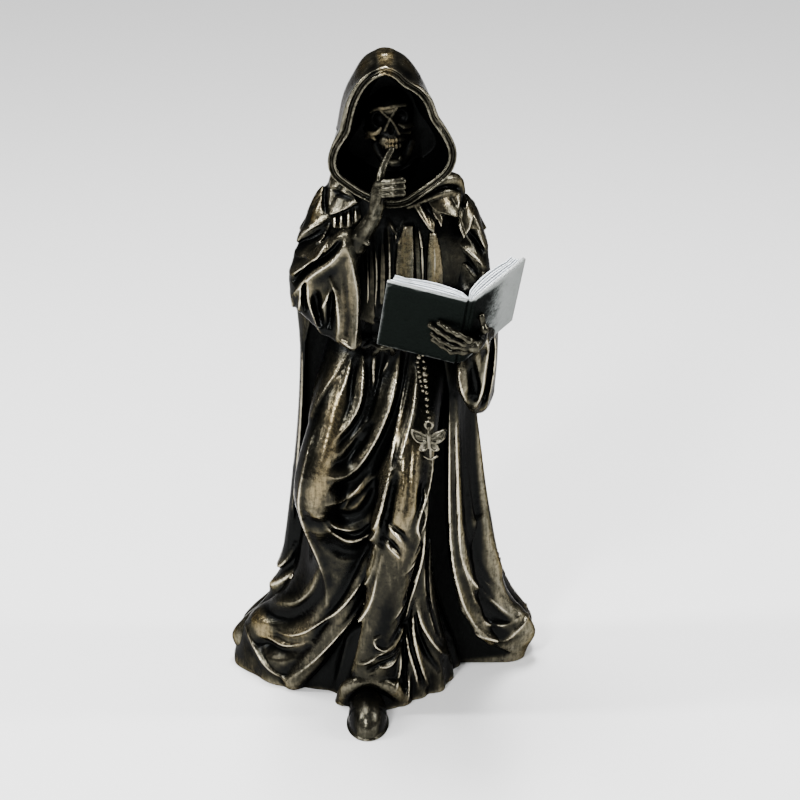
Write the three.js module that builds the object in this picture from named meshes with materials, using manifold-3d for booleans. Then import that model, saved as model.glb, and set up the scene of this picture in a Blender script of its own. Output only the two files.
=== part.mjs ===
// A hooded skeleton figure in a cloak, reading an open book with one finger raised to its lips.
// The figure is one solid casting on a flat underside, and the open book is a second casting held in its hand.
// Millimetres, +Z up, the figure faces -Y, and the origin is the middle of the footprint on the ground.
// Left and right are as seen from in front.
import * as THREE from "three";
import Module from "manifold-3d";

const wasm = await Module();
wasm.setup();

// Driving dimensions.
const clayStep = 1.2; // spacing of the grid that the casting is worked out on
const castingTriangles = 8800; // facets that the casting is cut down to
const headWeight = 9; // how much more the head, hands and chest keep their form than the skirt
const headHeight = 142; // where the head, hands and chest begin
const groundDepth = 4; // clay below the ground, cut away flat at the end
const bookGap = 0.35; // clearance between the casting and the book
const coverWidth = 28.5;
const coverHeight = 31;
const coverThickness = 1.3;
const pageStack = 4.8; // thickness of the pages on one cover
const pageInset = 0.7; // how far the covers stand out beyond the pages
const bookTilt = 29; // degrees that the open book leans back from upright
const bookRoll = 6.5; // degrees that its top leans to the right
const leftOpening = 13; // degrees of the left cover out of the book's plane
const rightOpening = 50; // degrees of the right cover out of the book's plane
const spineTop = [27.5, -52, 165.5];

const v = (x, y, z) => new THREE.Vector3(x, y, z);
const mix = (a, b, t) => a + (b - a) * t;
const clamp01 = (t) => Math.min(1, Math.max(0, t));

// Whether the marked corners of a cell hang together along its edges.
function oneGroup(mask) {
  if (mask === 0) return true;
  let group = mask & -mask;
  for (let pass = 0; pass < 8; pass++)
    for (let c = 0; c < 8; c++)
      if (group & (1 << c)) for (const bit of [1, 2, 4]) group |= mask & (1 << (c ^ bit));
  return group === mask;
}

// Clay: signed distances on a regular grid, positive outside. Shapes are added and cut with a soft blend.
class Clay {
  constructor(low, high, step) {
    this.low = low;
    this.step = step;
    this.count = ["x", "y", "z"].map((k) => Math.ceil((high[k] - low[k]) / step) + 1);
    this.far = 6 * step;
    this.field = new Float32Array(this.count[0] * this.count[1] * this.count[2]).fill(this.far);
  }

  // Runs over the grid points in a shape's box, grown by the reach of the blend.
  work(shape, blend, change) {
    const [nx, ny, nz] = this.count;
    const reach = blend + 3 * this.step;
    const first = (k, n) => Math.max(0, Math.min(n, Math.floor((shape.box.min[k] - reach - this.low[k]) / this.step)));
    const last = (k, n) => Math.min(n - 1, Math.ceil((shape.box.max[k] + reach - this.low[k]) / this.step));
    const [i0, j0, k0] = [first("x", nx), first("y", ny), first("z", nz)];
    const [i1, j1, k1] = [last("x", nx), last("y", ny), last("z", nz)];
    for (let k = k0; k <= k1; k++)
      for (let j = j0; j <= j1; j++) {
        const row = (k * ny + j) * nx;
        const y = this.low.y + j * this.step;
        const z = this.low.z + k * this.step;
        for (let i = i0; i <= i1; i++)
          this.field[row + i] = change(this.field[row + i], shape.distance(this.low.x + i * this.step, y, z));
      }
  }

  add(shape, blend = 0) {
    this.work(shape, blend, (old, d) => {
      if (!blend) return Math.min(old, d);
      const h = Math.max(blend - Math.abs(old - d), 0) / blend;
      return Math.min(old, d) - (h * h * blend) / 4;
    });
  }

  cut(shape, blend = 0) {
    this.work(shape, blend, (old, d) => {
      if (!blend) return Math.max(old, -d);
      const h = Math.max(blend - Math.abs(old + d), 0) / blend;
      return Math.max(old, -d) + (h * h * blend) / 4;
    });
  }

  // The y of the first surface met at (x, z) when looking at the figure from in front.
  front(x, z) {
    const [nx, ny] = this.count;
    const i = Math.round((x - this.low.x) / this.step);
    const k = Math.round((z - this.low.z) / this.step);
    for (let j = 1; j < ny; j++) {
      const here = this.field[(k * ny + j) * nx + i];
      if (here < 0) {
        const before = this.field[(k * ny + j - 1) * nx + i];
        return this.low.y + (j - here / (here - before)) * this.step;
      }
    }
    return 0;
  }

  // Fills the corners of cells whose inside or outside falls in two, so that the surface never meets itself.
  seal() {
    const [nx, ny, nz] = this.count;
    const corner = [0, 1, nx, nx + 1, nx * ny, nx * ny + 1, nx * ny + nx, nx * ny + nx + 1];
    const clear = [];
    for (let mask = 0; mask < 256; mask++) clear.push(oneGroup(mask) && oneGroup(255 - mask));
    for (let pass = 0, filled = 1; filled && pass < 30; pass++) {
      filled = 0;
      for (let k = 0; k < nz - 1; k++)
        for (let j = 0; j < ny - 1; j++)
          for (let i = 0; i < nx - 1; i++) {
            const at = (k * ny + j) * nx + i;
            let mask = 0;
            for (let c = 0; c < 8; c++) if (this.field[at + corner[c]] < 0) mask |= 1 << c;
            if (clear[mask]) continue;
            let least = -1;
            for (const c of corner)
              if (this.field[at + c] >= 0 && (least < 0 || this.field[at + c] < this.field[least])) least = at + c;
            this.field[least] = -0.02 * this.step;
            filled++;
          }
    }
  }

  // The closed surface where the distance is nought: one vertex in each cell that it crosses.
  surface() {
    const [nx, ny, nz] = this.count;
    const f = this.field;
    const cell = new Int32Array(f.length).fill(-1);
    const points = [];
    const corner = [0, 1, nx, nx + 1, nx * ny, nx * ny + 1, nx * ny + nx, nx * ny + nx + 1];
    const edges = [];
    for (let a = 0; a < 8; a++) for (const bit of [1, 2, 4]) if (!(a & bit)) edges.push([a, a | bit]);
    for (let k = 0; k < nz - 1; k++)
      for (let j = 0; j < ny - 1; j++)
        for (let i = 0; i < nx - 1; i++) {
          const at = (k * ny + j) * nx + i;
          let inside = 0;
          for (let c = 0; c < 8; c++) if (f[at + corner[c]] < 0) inside++;
          if (inside === 0 || inside === 8) continue;
          const sum = [0, 0, 0];
          let crossed = 0;
          for (const [a, b] of edges) {
            const da = f[at + corner[a]];
            const db = f[at + corner[b]];
            if (da < 0 === db < 0) continue;
            const t = da / (da - db);
            for (let axis = 0; axis < 3; axis++)
              sum[axis] += mix((a >> axis) & 1, (b >> axis) & 1, t);
            crossed++;
          }
          cell[at] = points.length / 3;
          points.push(
            this.low.x + (i + sum[0] / crossed) * this.step,
            this.low.y + (j + sum[1] / crossed) * this.step,
            this.low.z + (k + sum[2] / crossed) * this.step,
          );
        }
    const faces = [];
    const strides = [1, nx, nx * ny];
    for (let k = 1; k < nz - 1; k++)
      for (let j = 1; j < ny - 1; j++)
        for (let i = 1; i < nx - 1; i++) {
          const at = (k * ny + j) * nx + i;
          for (let axis = 0; axis < 3; axis++) {
            const inside = f[at] < 0;
            if (inside === f[at + strides[axis]] < 0) continue;
            const u = strides[(axis + 1) % 3];
            const w = strides[(axis + 2) % 3];
            const ring = [cell[at], cell[at - u], cell[at - u - w], cell[at - w]];
            if (!inside) ring.reverse();
            faces.push(ring[0], ring[1], ring[2], ring[0], ring[2], ring[3]);
          }
        }
    return { points, faces };
  }
}

// Keeps only the largest closed surface of a mesh.
function largest({ points, faces }) {
  const root = Int32Array.from({ length: points.length / 3 }, (_, i) => i);
  const find = (i) => {
    while (root[i] !== i) {
      root[i] = root[root[i]];
      i = root[i];
    }
    return i;
  };
  for (let f = 0; f < faces.length; f += 3) {
    root[find(faces[f])] = find(faces[f + 1]);
    root[find(faces[f + 1])] = find(faces[f + 2]);
  }
  const size = new Map();
  for (const p of faces) size.set(find(p), (size.get(find(p)) ?? 0) + 1);
  const main = [...size].sort((a, b) => b[1] - a[1])[0][0];
  return { points, faces: faces.filter((_, i) => find(faces[i - (i % 3)]) === main) };
}

// Draws edges of a closed mesh together, the flattest first, until the wanted number of facets is left.
function coarsen({ points, faces }, wanted, weightAt) {
  const count = points.length / 3;
  const quadric = new Float64Array(count * 10);
  const alive = new Uint8Array(faces.length / 3).fill(1);
  const around = Array.from({ length: count }, () => []);
  const stamp = new Int32Array(count);
  const at = (p) => [points[3 * p], points[3 * p + 1], points[3 * p + 2]];
  const normal = ([ax, ay, az], [bx, by, bz], [cx, cy, cz]) => {
    const [ux, uy, uz, wx, wy, wz] = [bx - ax, by - ay, bz - az, cx - ax, cy - ay, cz - az];
    return [uy * wz - uz * wy, uz * wx - ux * wz, ux * wy - uy * wx];
  };
  for (let f = 0; f < faces.length; f += 3) {
    const corners = [faces[f], faces[f + 1], faces[f + 2]];
    const [a, b, c] = corners.map(at);
    const n = normal(a, b, c);
    const area = Math.sqrt(n[0] ** 2 + n[1] ** 2 + n[2] ** 2) + 1e-12;
    const [x, y, z] = n.map((k) => k / area);
    const d = -(x * a[0] + y * a[1] + z * a[2]);
    const share = (area / 2) * weightAt(a);
    const terms = [x * x, x * y, x * z, x * d, y * y, y * z, y * d, z * z, z * d, d * d];
    for (const p of corners) {
      around[p].push(f / 3);
      for (let k = 0; k < 10; k++) quadric[10 * p + k] += terms[k] * share;
    }
  }
  const ringOf = (p) => {
    const ring = new Set();
    for (const f of around[p]) if (alive[f]) for (let k = 0; k < 3; k++) ring.add(faces[3 * f + k]);
    ring.delete(p);
    return ring;
  };
  const costAt = (q, x, y, z) =>
    q[0] * x * x + q[4] * y * y + q[7] * z * z + q[9] +
    2 * (q[1] * x * y + q[2] * x * z + q[3] * x + q[5] * y * z + q[6] * y + q[8] * z);
  const plan = (a, b) => {
    const q = new Float64Array(10);
    for (let k = 0; k < 10; k++) q[k] = quadric[10 * a + k] + quadric[10 * b + k];
    const [pa, pb] = [at(a), at(b)];
    const middle = pa.map((k, i) => (k + pb[i]) / 2);
    const long = (pa[0] - pb[0]) ** 2 + (pa[1] - pb[1]) ** 2 + (pa[2] - pb[2]) ** 2;
    const pull = 1e-3 * (q[0] + q[4] + q[7]);
    const [m0, m4, m7] = [q[0] + pull, q[4] + pull, q[7] + pull];
    const rest = [pull * middle[0] - q[3], pull * middle[1] - q[6], pull * middle[2] - q[8]];
    const cofactor = [m4 * m7 - q[5] * q[5], q[2] * q[5] - q[1] * m7, q[1] * q[5] - q[2] * m4];
    const size = m0 * cofactor[0] + q[1] * cofactor[1] + q[2] * cofactor[2];
    let best = middle;
    if (Math.abs(size) > 1e-12) {
      const [c4, c5, c7] = [m0 * m7 - q[2] * q[2], q[1] * q[2] - m0 * q[5], m0 * m4 - q[1] * q[1]];
      const solved = [
        (cofactor[0] * rest[0] + cofactor[1] * rest[1] + cofactor[2] * rest[2]) / size,
        (cofactor[1] * rest[0] + c4 * rest[1] + c5 * rest[2]) / size,
        (cofactor[2] * rest[0] + c5 * rest[1] + c7 * rest[2]) / size,
      ];
      const away = solved.reduce((sum, k, i) => sum + (k - middle[i]) ** 2, 0);
      if (away < 4 * long + 0.01) best = solved;
    }
    const cost = Math.max(0, costAt(q, ...best)) + 1e-4 * long * weightAt(middle);
    return { a, b, best, cost, stampA: stamp[a], stampB: stamp[b] };
  };
  const heap = [];
  const push = (item) => {
    let i = heap.push(item) - 1;
    while (i > 0) {
      const up = (i - 1) >> 1;
      if (heap[up].cost <= heap[i].cost) break;
      [heap[up], heap[i]] = [heap[i], heap[up]];
      i = up;
    }
  };
  const pop = () => {
    const first = heap[0];
    const last = heap.pop();
    if (heap.length) {
      heap[0] = last;
      let i = 0;
      for (;;) {
        let low = i;
        for (const k of [2 * i + 1, 2 * i + 2]) if (k < heap.length && heap[k].cost < heap[low].cost) low = k;
        if (low === i) break;
        [heap[low], heap[i]] = [heap[i], heap[low]];
        i = low;
      }
    }
    return first;
  };
  for (let f = 0; f < faces.length; f += 3)
    for (let k = 0; k < 3; k++) {
      const [a, b] = [faces[f + k], faces[f + ((k + 1) % 3)]];
      if (a < b) push(plan(a, b));
    }
  let left = faces.length / 3;
  while (left > wanted && heap.length) {
    const { a, b, best, stampA, stampB } = pop();
    if (stampA !== stamp[a] || stampB !== stamp[b] || stamp[a] < 0 || stamp[b] < 0) continue;
    const [ringA, ringB] = [ringOf(a), ringOf(b)];
    let shared = 0;
    for (const p of ringA) if (ringB.has(p)) shared++;
    if (shared !== 2) continue;
    const bends = (from, other) =>
      around[from].some((f) => {
        if (!alive[f]) return false;
        const corners = [faces[3 * f], faces[3 * f + 1], faces[3 * f + 2]];
        if (corners.includes(other)) return false;
        const old = normal(...corners.map(at));
        const now = normal(...corners.map((p) => (p === from ? best : at(p))));
        const dot = old[0] * now[0] + old[1] * now[1] + old[2] * now[2];
        const sizes = Math.sqrt((old[0] ** 2 + old[1] ** 2 + old[2] ** 2) * (now[0] ** 2 + now[1] ** 2 + now[2] ** 2));
        return dot < 0.25 * sizes || sizes < 1e-12;
      });
    if (bends(a, b) || bends(b, a)) continue;
    [points[3 * a], points[3 * a + 1], points[3 * a + 2]] = best;
    for (let k = 0; k < 10; k++) quadric[10 * a + k] += quadric[10 * b + k];
    for (const f of around[b]) {
      if (!alive[f]) continue;
      const corners = [faces[3 * f], faces[3 * f + 1], faces[3 * f + 2]];
      if (corners.includes(a)) {
        alive[f] = 0;
        left--;
      } else {
        faces[3 * f + corners.indexOf(b)] = a;
        around[a].push(f);
      }
    }
    stamp[b] = -1;
    stamp[a]++;
    around[a] = around[a].filter((f) => alive[f]);
    for (const p of ringOf(a)) push(plan(a, p));
  }
  const kept = faces.filter((_, i) => alive[(i - (i % 3)) / 3]);
  const order = new Map();
  const tidy = [];
  const index = kept.map((p) => {
    if (!order.has(p)) {
      order.set(p, tidy.length / 3);
      tidy.push(points[3 * p], points[3 * p + 1], points[3 * p + 2]);
    }
    return order.get(p);
  });
  return { points: tidy, faces: index };
}

// Shapes. Each has the box that it fills and the distance to its surface, positive outside.
function boxOf(stations, grow) {
  const box = new THREE.Box3();
  for (const [x, y, z] of stations) box.expandByPoint(v(x, y, z));
  return box.expandByScalar(grow);
}

const curveOf = (points) => new THREE.CatmullRomCurve3(points.map(([x, y, z]) => v(x, y, z)), false, "centripetal");

// A bending tube through stations of [x, y, z, radius].
function limb(stations, pieces = 5) {
  const curve = curveOf(stations);
  const last = stations.length - 1;
  const rings = [];
  for (let i = 0; i <= last * pieces; i++) {
    const at = i / pieces;
    const s = Math.min(last - 1, Math.floor(at));
    const p = curve.getPoint(at / last);
    rings.push([p.x, p.y, p.z, mix(stations[s][3], stations[s + 1][3], at - s)]);
  }
  return {
    box: boxOf(rings, Math.max(...rings.map((r) => r[3]))),
    distance(x, y, z) {
      let nearest = Infinity;
      for (let i = 1; i < rings.length; i++) {
        const a = rings[i - 1];
        const b = rings[i];
        const u = [b[0] - a[0], b[1] - a[1], b[2] - a[2]];
        const w = [x - a[0], y - a[1], z - a[2]];
        const length = u[0] * u[0] + u[1] * u[1] + u[2] * u[2] + 1e-9;
        const t = clamp01((w[0] * u[0] + w[1] * u[1] + w[2] * u[2]) / length);
        const off = [w[0] - t * u[0], w[1] - t * u[1], w[2] - t * u[2]];
        const d = Math.sqrt(off[0] * off[0] + off[1] * off[1] + off[2] * off[2]) - mix(a[3], b[3], t);
        if (d < nearest) nearest = d;
      }
      return nearest;
    },
  };
}

// An ellipsoid about [x, y, z] with half sizes [rx, ry, rz], rolled in the front view by an angle.
function ball([cx, cy, cz], [rx, ry, rz], roll = 0) {
  const [c, s] = [Math.cos(roll), Math.sin(roll)];
  return {
    box: boxOf([[cx, cy, cz]], Math.max(rx, ry, rz)),
    distance(x, y, z) {
      const p = [(x - cx) * c + (z - cz) * s, y - cy, (z - cz) * c - (x - cx) * s];
      const outer = Math.sqrt((p[0] / rx) ** 2 + (p[1] / ry) ** 2 + (p[2] / rz) ** 2);
      const inner = Math.sqrt((p[0] / rx ** 2) ** 2 + (p[1] / ry ** 2) ** 2 + (p[2] / rz ** 2) ** 2);
      return inner < 1e-6 ? -Math.min(rx, ry, rz) : (outer * (outer - 1)) / inner;
    },
  };
}

// The values of station rows at a height, by a smooth curve through them. The rows run from high to low.
function between(rows, z) {
  let i = 0;
  while (i < rows.length - 2 && z < rows[i + 1][0]) i++;
  const [before, a, b, after] = [rows[Math.max(0, i - 1)], rows[i], rows[i + 1], rows[Math.min(rows.length - 1, i + 2)]];
  const span = b[0] - a[0];
  const t = clamp01((z - a[0]) / span);
  return a.slice(1).map((value, k) => {
    const next = b[k + 1];
    const leave = ((next - before[k + 1]) / (b[0] - before[0])) * span;
    const arrive = ((after[k + 1] - value) / (after[0] - a[0])) * span;
    const [t2, t3] = [t * t, t * t * t];
    return value * (2 * t3 - 3 * t2 + 1) + leave * (t3 - 2 * t2 + t) + next * (3 * t2 - 2 * t3) + arrive * (t3 - t2);
  });
}

// A solid of oval sections through rows of [z, middle x, middle y, half width, half depth]. Its folds are a
// function of the angle about it, nought at the front and growing to the right as seen, and of the height.
function loft(rows, folds = () => 0) {
  const top = rows[0][0];
  const bottom = rows[rows.length - 1][0];
  const corners = rows.flatMap(([z, x, y, rx, ry]) => [[x - rx, y - ry, z], [x + rx, y + ry, z]]);
  let level = null;
  let section = null;
  return {
    box: boxOf(corners, 4),
    distance(x, y, z) {
      if (z !== level) {
        level = z;
        section = between(rows, Math.min(top, Math.max(bottom, z)));
      }
      const [cx, cy, rx, ry] = section;
      const grow = folds(Math.atan2((x - cx) / rx, -(y - cy) / ry), z);
      const [a, b] = [rx + grow, ry + grow];
      const [ex, ey] = [(x - cx) / a, (y - cy) / b];
      const outer = Math.sqrt(ex * ex + ey * ey);
      const inner = Math.sqrt((ex / a) ** 2 + (ey / b) ** 2);
      const side = inner < 1e-6 ? -Math.min(a, b) : (outer * (outer - 1)) / inner;
      return Math.max(side, z - top, bottom - z);
    },
  };
}

// The space in front of a depth and inside a closed outline of [x, z] points in the front view.
function doorway(outline, front, back, slope = 0) {
  return {
    box: new THREE.Box3().setFromPoints(outline.flatMap(([x, z]) => [v(x, front, z), v(x, back + 12, z)])),
    distance(x, y, z) {
      let nearest = Infinity;
      let inside = false;
      for (let i = 0, j = outline.length - 1; i < outline.length; j = i++) {
        const [ax, az] = outline[j];
        const [bx, bz] = outline[i];
        const [ux, uz] = [bx - ax, bz - az];
        const t = clamp01(((x - ax) * ux + (z - az) * uz) / (ux * ux + uz * uz));
        nearest = Math.min(nearest, Math.hypot(x - ax - t * ux, z - az - t * uz));
        if (az > z !== bz > z && x < ax + ((z - az) / (bz - az)) * ux) inside = !inside;
      }
      const edge = inside ? -nearest : nearest;
      return Math.max(edge + slope * Math.max(0, y - front), y - back);
    },
  };
}

// A fold on the front of the clay along [x, z] points, tapering to both ends. A negative radius is a furrow.
function fold(clay, radius, route, proud = 0.7) {
  const line = new THREE.CatmullRomCurve3(route.map(([x, z]) => v(x, 0, z)), false, "centripetal");
  const count = Math.max(3, Math.round(line.getLength() / 5));
  const size = Math.abs(radius);
  let depth = [];
  for (let i = 0; i <= count; i++) {
    const p = line.getPoint(i / count);
    depth.push(clay.front(p.x, p.z));
  }
  for (let pass = 0; pass < 2; pass++)
    depth = depth.map((y, i) => (y * 2 + depth[Math.max(0, i - 1)] + depth[Math.min(count, i + 1)]) / 4);
  const stations = depth.map((y, i) => {
    const p = line.getPoint(i / count);
    const r = size * (0.45 + 0.55 * Math.sin((Math.PI * i) / count));
    return [p.x, radius > 0 ? y + r * (1 - proud) : y - r * (1 - proud), p.z, r];
  });
  if (radius > 0) clay.add(limb(stations, 2), size);
  else clay.cut(limb(stations, 2), size * 0.6);
}

// Cloth hung between an upper and a lower line of [x, y, z] points, in a row of soft pleats.
function curtain(clay, upper, lower, pleats, radiusAbove, radiusBelow, blend) {
  const [above, below] = [curveOf(upper), curveOf(lower)];
  for (let i = 0; i < pleats; i++) {
    const a = above.getPoint(i / (pleats - 1));
    const b = below.getPoint(i / (pleats - 1));
    clay.add(limb([[a.x, a.y, a.z, radiusAbove], [b.x, b.y, b.z, radiusBelow]], 1), blend);
  }
}

// The casting, part by part.

const pleat = (turn) => Math.abs(Math.sin(turn)) ** 0.8 - 0.6;

const cloakRows = [
  [200, 1, 2, 12, 10],
  [190, 1.5, 4, 21, 14],
  [172, 2, 4, 31, 18],
  [150, 1, 5, 33.5, 20],
  [130, 0.5, 7, 32, 20],
  [106, -0.5, 9, 32.3, 20],
  [86, -0.3, 11, 33.8, 20],
  [65, 0.3, 12, 36.3, 21],
  [40, 1.5, 14, 41, 24],
  [27, 2, 16, 46, 26],
  [16, 0.5, 18.5, 54.5, 29],
  [10, -0.5, 20, 57, 30],
  [4, -1, 20, 54.5, 28.5],
  [-groundDepth, -1, 20, 52, 26.5],
];

const robeRows = [
  [182, 2, 0, 21, 15],
  [160, 2, 0, 21, 16],
  [140, 2, 2, 20, 17],
  [120, -1, 3, 23, 17],
  [100, -4, 4, 24, 16],
  [80, -7, 6, 23, 16],
  [60, -9, 8, 23, 16],
  [40, -11, 9, 25, 17],
  [20, -12, 11, 31, 20],
  [8, -13, 13, 36, 23],
  [2, -13, 14, 38, 24.5],
  [-groundDepth, -13, 14, 38, 24.5],
];

const hoodRows = [
  [239.4, -1, -8, 3, 7],
  [236, -1, -8, 8, 14.5],
  [230, -0.5, -5, 11.6, 17.5],
  [222, -0.5, -2, 14.8, 19.5],
  [212, 0, -0.5, 17.2, 19.5],
  [204, 0.8, 0.5, 19.8, 18.5],
  [196, 0.5, 1.5, 19, 17.5],
  [186, 0.5, 2, 16, 15],
];

const hoodRim = [
  [0, 235.2], [-7, 230.5], [-12.1, 222.7], [-13.6, 214], [-17.4, 205], [-16.3, 198], [-7.5, 192.2], [0, 190],
  [5.8, 190.7], [17, 197.3], [21.1, 204.5], [17.6, 214.1], [12.4, 223.9], [7.5, 230],
];

// The cloak hangs open in front, from under the arms to the ground.
function cloak(clay) {
  clay.add(
    loft(cloakRows, (angle, z) => {
      const low = clamp01((150 - z) / 140);
      const bend = 0.25 * Math.sin(z / 23);
      const tuck = clamp01((62 - z) / 40) * Math.exp(-(((angle - 1) / 0.42) ** 2));
      return (0.5 + 4.2 * low * low) * pleat(angle * 5.5 + bend) * clamp01(Math.abs(angle) * 1.6 - 1) - 8 * tuck;
    }),
  );
  const opening = [
    [-27, 134], [-31, 90], [-34, 65], [-35, 40], [-42, 20], [-52, -9],
    [40, -9], [32, 12], [25, 27], [21.5, 42], [19.5, 62], [17.6, 99], [16, 134],
  ];
  clay.cut(doorway(opening, -40, 6), 2);
  const rightSide = [[2, -9], [2, 100], [17.6, 99], [19.5, 62], [21.5, 42], [25, 27], [32, 12], [40, -9]];
  clay.cut(doorway(rightSide, -40, 13), 2);
}

function robe(clay) {
  clay.add(loft(robeRows, (angle, z) => 1.2 * clamp01((120 - z) / 90) * pleat(angle * 6 + z / 30)), 3);
  clay.add(limb([[-10, -3, 126, 12], [-17, -11, 106, 11], [-24.5, -18, 84, 9], [-22, -9, 62, 7], [-19, -2, 40, 7]]), 8);
  clay.add(limb([[9, -5, 124, 11], [7, -14, 104, 10.5], [4.5, -24.5, 82, 8.5], [1, -25, 55, 8], [-6, -23, 16, 7.5]]), 5);
  clay.add(limb([[-5, -14, 20, 11], [-5, -12, 2, 15], [-5, -12, -groundDepth, 15]]), 5);
  // Cloth drawn over between the thighs and down the front of the trailing leg.
  clay.add(limb([[-3, -7, 116, 12], [-8, -11, 92, 10.5], [-12, -10, 68, 9], [-17, -6, 46, 9], [-26, -1, 26, 10]]), 7);
  // The front panel's edge sweeps from between the knees to the ground on the left.
  clay.add(limb([[-18, -2, 40, 9], [-25, -1, 22, 9], [-36, 3, 4, 10], [-38, 4, -groundDepth, 10]]), 6);
  clay.cut(limb([[-2, -25, 64, 1.4], [-6.5, -23, 46, 3], [-13, -20, 28, 4.5], [-21, -19, 8, 6], [-22, -19, -6, 6.5]]), 3);
  clay.add(limb([[-2, -20, 80, 1.8], [-7, -19, 56, 2.4], [-15, -15, 33, 3], [-25, -10.5, 14, 3.2], [-34, -8, 2.5, 3.2]]), 2);
}

// Folds that fan out from the leading leg to the hem, and the hem's arch over the shoe.
function skirtHem(clay) {
  const feet = [[4, -19], [11, -14], [17.4, -9], [21, 1], [24, 12]];
  clay.add(limb([[8, -9, 70, 6], [9, -6, 40, 8], [11, -3, 14, 10], [12, 0, -groundDepth, 11]]), 5);
  feet.forEach(([x, y], i) => {
    const bend = mix(0.4, 0.75, i / 4);
    const knee = [mix(9, x, bend * 0.5), mix(-12, y, bend), 22 + 4 * i, 2.4];
    clay.add(limb([[9 + i, -12 + 2 * i, 62 + 5 * i, 1.6], knee, [x, y, 2, 3.2], [x, y, -groundDepth, 3.2]]), 3);
  });
  clay.add(limb([[-16, -19, 1, 3], [-13, -25, 9, 3], [-6.5, -28, 12.5, 3], [1, -25, 9, 3], [4, -20, 1, 3]]), 2);
}

function shoe(clay) {
  clay.add(ball([-7.5, -35, 3], [7, 14, 7.5]), 1);
  clay.add(ball([-7.5, -34.5, 0], [7.8, 15.5, 2.6]), 0.6);
}

function torso(clay) {
  clay.add(limb([[-18, 3, 179, 8], [1, -1, 186, 12], [21, 3, 179, 8]]), 6);
  clay.add(limb([[-14, -14, 138.5, 1.8], [-5, -18.5, 137.5, 2], [4, -19.5, 137, 2], [14, -18, 139, 1.8]]), 1);
  clay.add(ball([-4, -19.5, 138], [3.4, 2.6, 3]), 1);
}

// The raised arm's sleeve falls in a panel from the wrist, hollow behind its front edge.
function raisedSleeve(clay) {
  clay.add(limb([[-20, 2, 177, 8.5], [-24.5, -2, 164, 8.8], [-24, -6, 154, 9]]), 5);
  clay.add(limb([[-25, -7, 158, 8.5], [-19, -16, 168, 7], [-14, -22, 176.5, 4.6]]), 4);
  const upper = [[-13.5, -23, 174], [-18, -20, 165], [-25, -14, 160], [-30, -4, 158]];
  const lower = [[-10.8, -25, 142.5], [-16, -22, 140.5], [-23, -18, 145], [-30, -7, 144]];
  curtain(clay, upper, lower, 6, 3.4, 3, 2.4);
  clay.cut(limb([[-13, -15, 168, 2.5], [-12, -17, 150, 5], [-13, -18, 137, 6]]), 2);
}

// The book arm's sleeve hangs from the forearm to a low point, with its mouth open to the front.
function bookSleeve(clay) {
  clay.add(limb([[23.5, 2, 177, 8.5], [27, 0, 163, 8.6], [28.5, -4, 151, 8.2]]), 5);
  clay.add(limb([[31, -5, 149, 8], [31, -18, 147, 6.5], [30.5, -31, 146, 5]]), 3);
  const upper = [[30.5, -30, 146], [31.5, -20, 146], [32, -10, 147], [31.5, -2, 148]];
  const lower = [[27, -28, 126], [31, -20, 116], [32.3, -12, 114.5], [32.5, -3, 120]];
  curtain(clay, upper, lower, 8, 3.6, 3.2, 2);
  clay.cut(ball([24.5, -31, 130], [4, 5, 9], 0.3), 1.5);
}

// The short mantle lies over the shoulders, with two points at the throat.
function mantle(clay) {
  const rows = [
    [199, 1, 1, 14, 13],
    [190, 1.5, 3, 23, 16],
    [183, 1.8, 3, 27.8, 18.5],
    [177, 2, 3.5, 30.8, 20.5],
  ];
  clay.add(loft(rows, (angle, z) => (0.4 + (199 - z) * 0.05) * pleat(angle * 7)), 0.8);
  clay.cut(doorway([[-9, 176], [-11, 184], [-6, 190], [3, 186], [6, 176]], -40, -12), 1);
  fold(clay, 2, [[3, 192], [6, 187], [9.5, 180], [12, 176]]);
  fold(clay, 2, [[9, 192], [14, 187], [18, 181], [20, 179]]);
  fold(clay, 1.8, [[20, 193], [25, 189], [24, 178]]);
  fold(clay, 1.8, [[-22, 192], [-15, 188], [-12, 186], [-17, 182], [-27, 177]]);
}

// The depth of the hood's rim, which juts out at the top and under the chin.
const rimDepth = (x, z) => -18 - 5 * clamp01((z - 208) / 26) - 3 * clamp01((200 - z) / 10) * (1 - Math.abs(x) / 18);

function hood(clay) {
  clay.add(loft(hoodRows), 3);
  const mouth = doorway(hoodRim, -40, 2);
  clay.add({
    box: mouth.box.clone().expandByScalar(3),
    distance: (x, y, z) => Math.max(mouth.distance(x, -30, z) - 1.6, rimDepth(x, z) - y, y - 2),
  }, 4);
  clay.cut(mouth, 0.8);
  const lip = [...hoodRim, hoodRim[0]].map(([x, z]) => [x, rimDepth(x, z), z, 1.5]);
  clay.add(limb(lip, 3), 1);
  clay.add(limb([[0, -6, 178, 9], [0.5, -2, 192, 8]]), 1);
}

// The skull is rolled a little, so that its crown leans to the left.
function skull(clay) {
  clay.add(ball([0, 1, 214.5], [8.6, 9.5, 9.6], -0.2));
  clay.add(ball([2.6, -3.5, 204], [5, 5, 5.4], -0.2), 2.5);
  for (const side of [-1, 1]) {
    const eye = [0.2 + side * 4, -8.5, 215.6 + side * 0.9];
    clay.cut(ball(eye, [2.6, 3.4, 2.3], -0.2), 0.8);
    clay.add(limb([[0.2, -8.6, 218.6, 1.1], [0.2 + side * 5.9, -6.2, 219.3 + side * 1.3, 1.2]]), 0.8);
    clay.add(limb([[1.4 + side * 2.5, -8.3, 211, 1.1], [0.7 + side * 6.4, -5, 212.7 + side * 1.5, 1.3]]), 0.8);
  }
  clay.cut(ball([0.9, -9.5, 212.2], [1.2, 2.4, 1.9], -0.2), 0.4);
  clay.add(limb([[-1.2, -8.6, 207.3, 1.2], [1.8, -9.4, 207.4, 1.4], [4.6, -8.4, 208.6, 1.2]]), 0.8);
}

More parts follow.
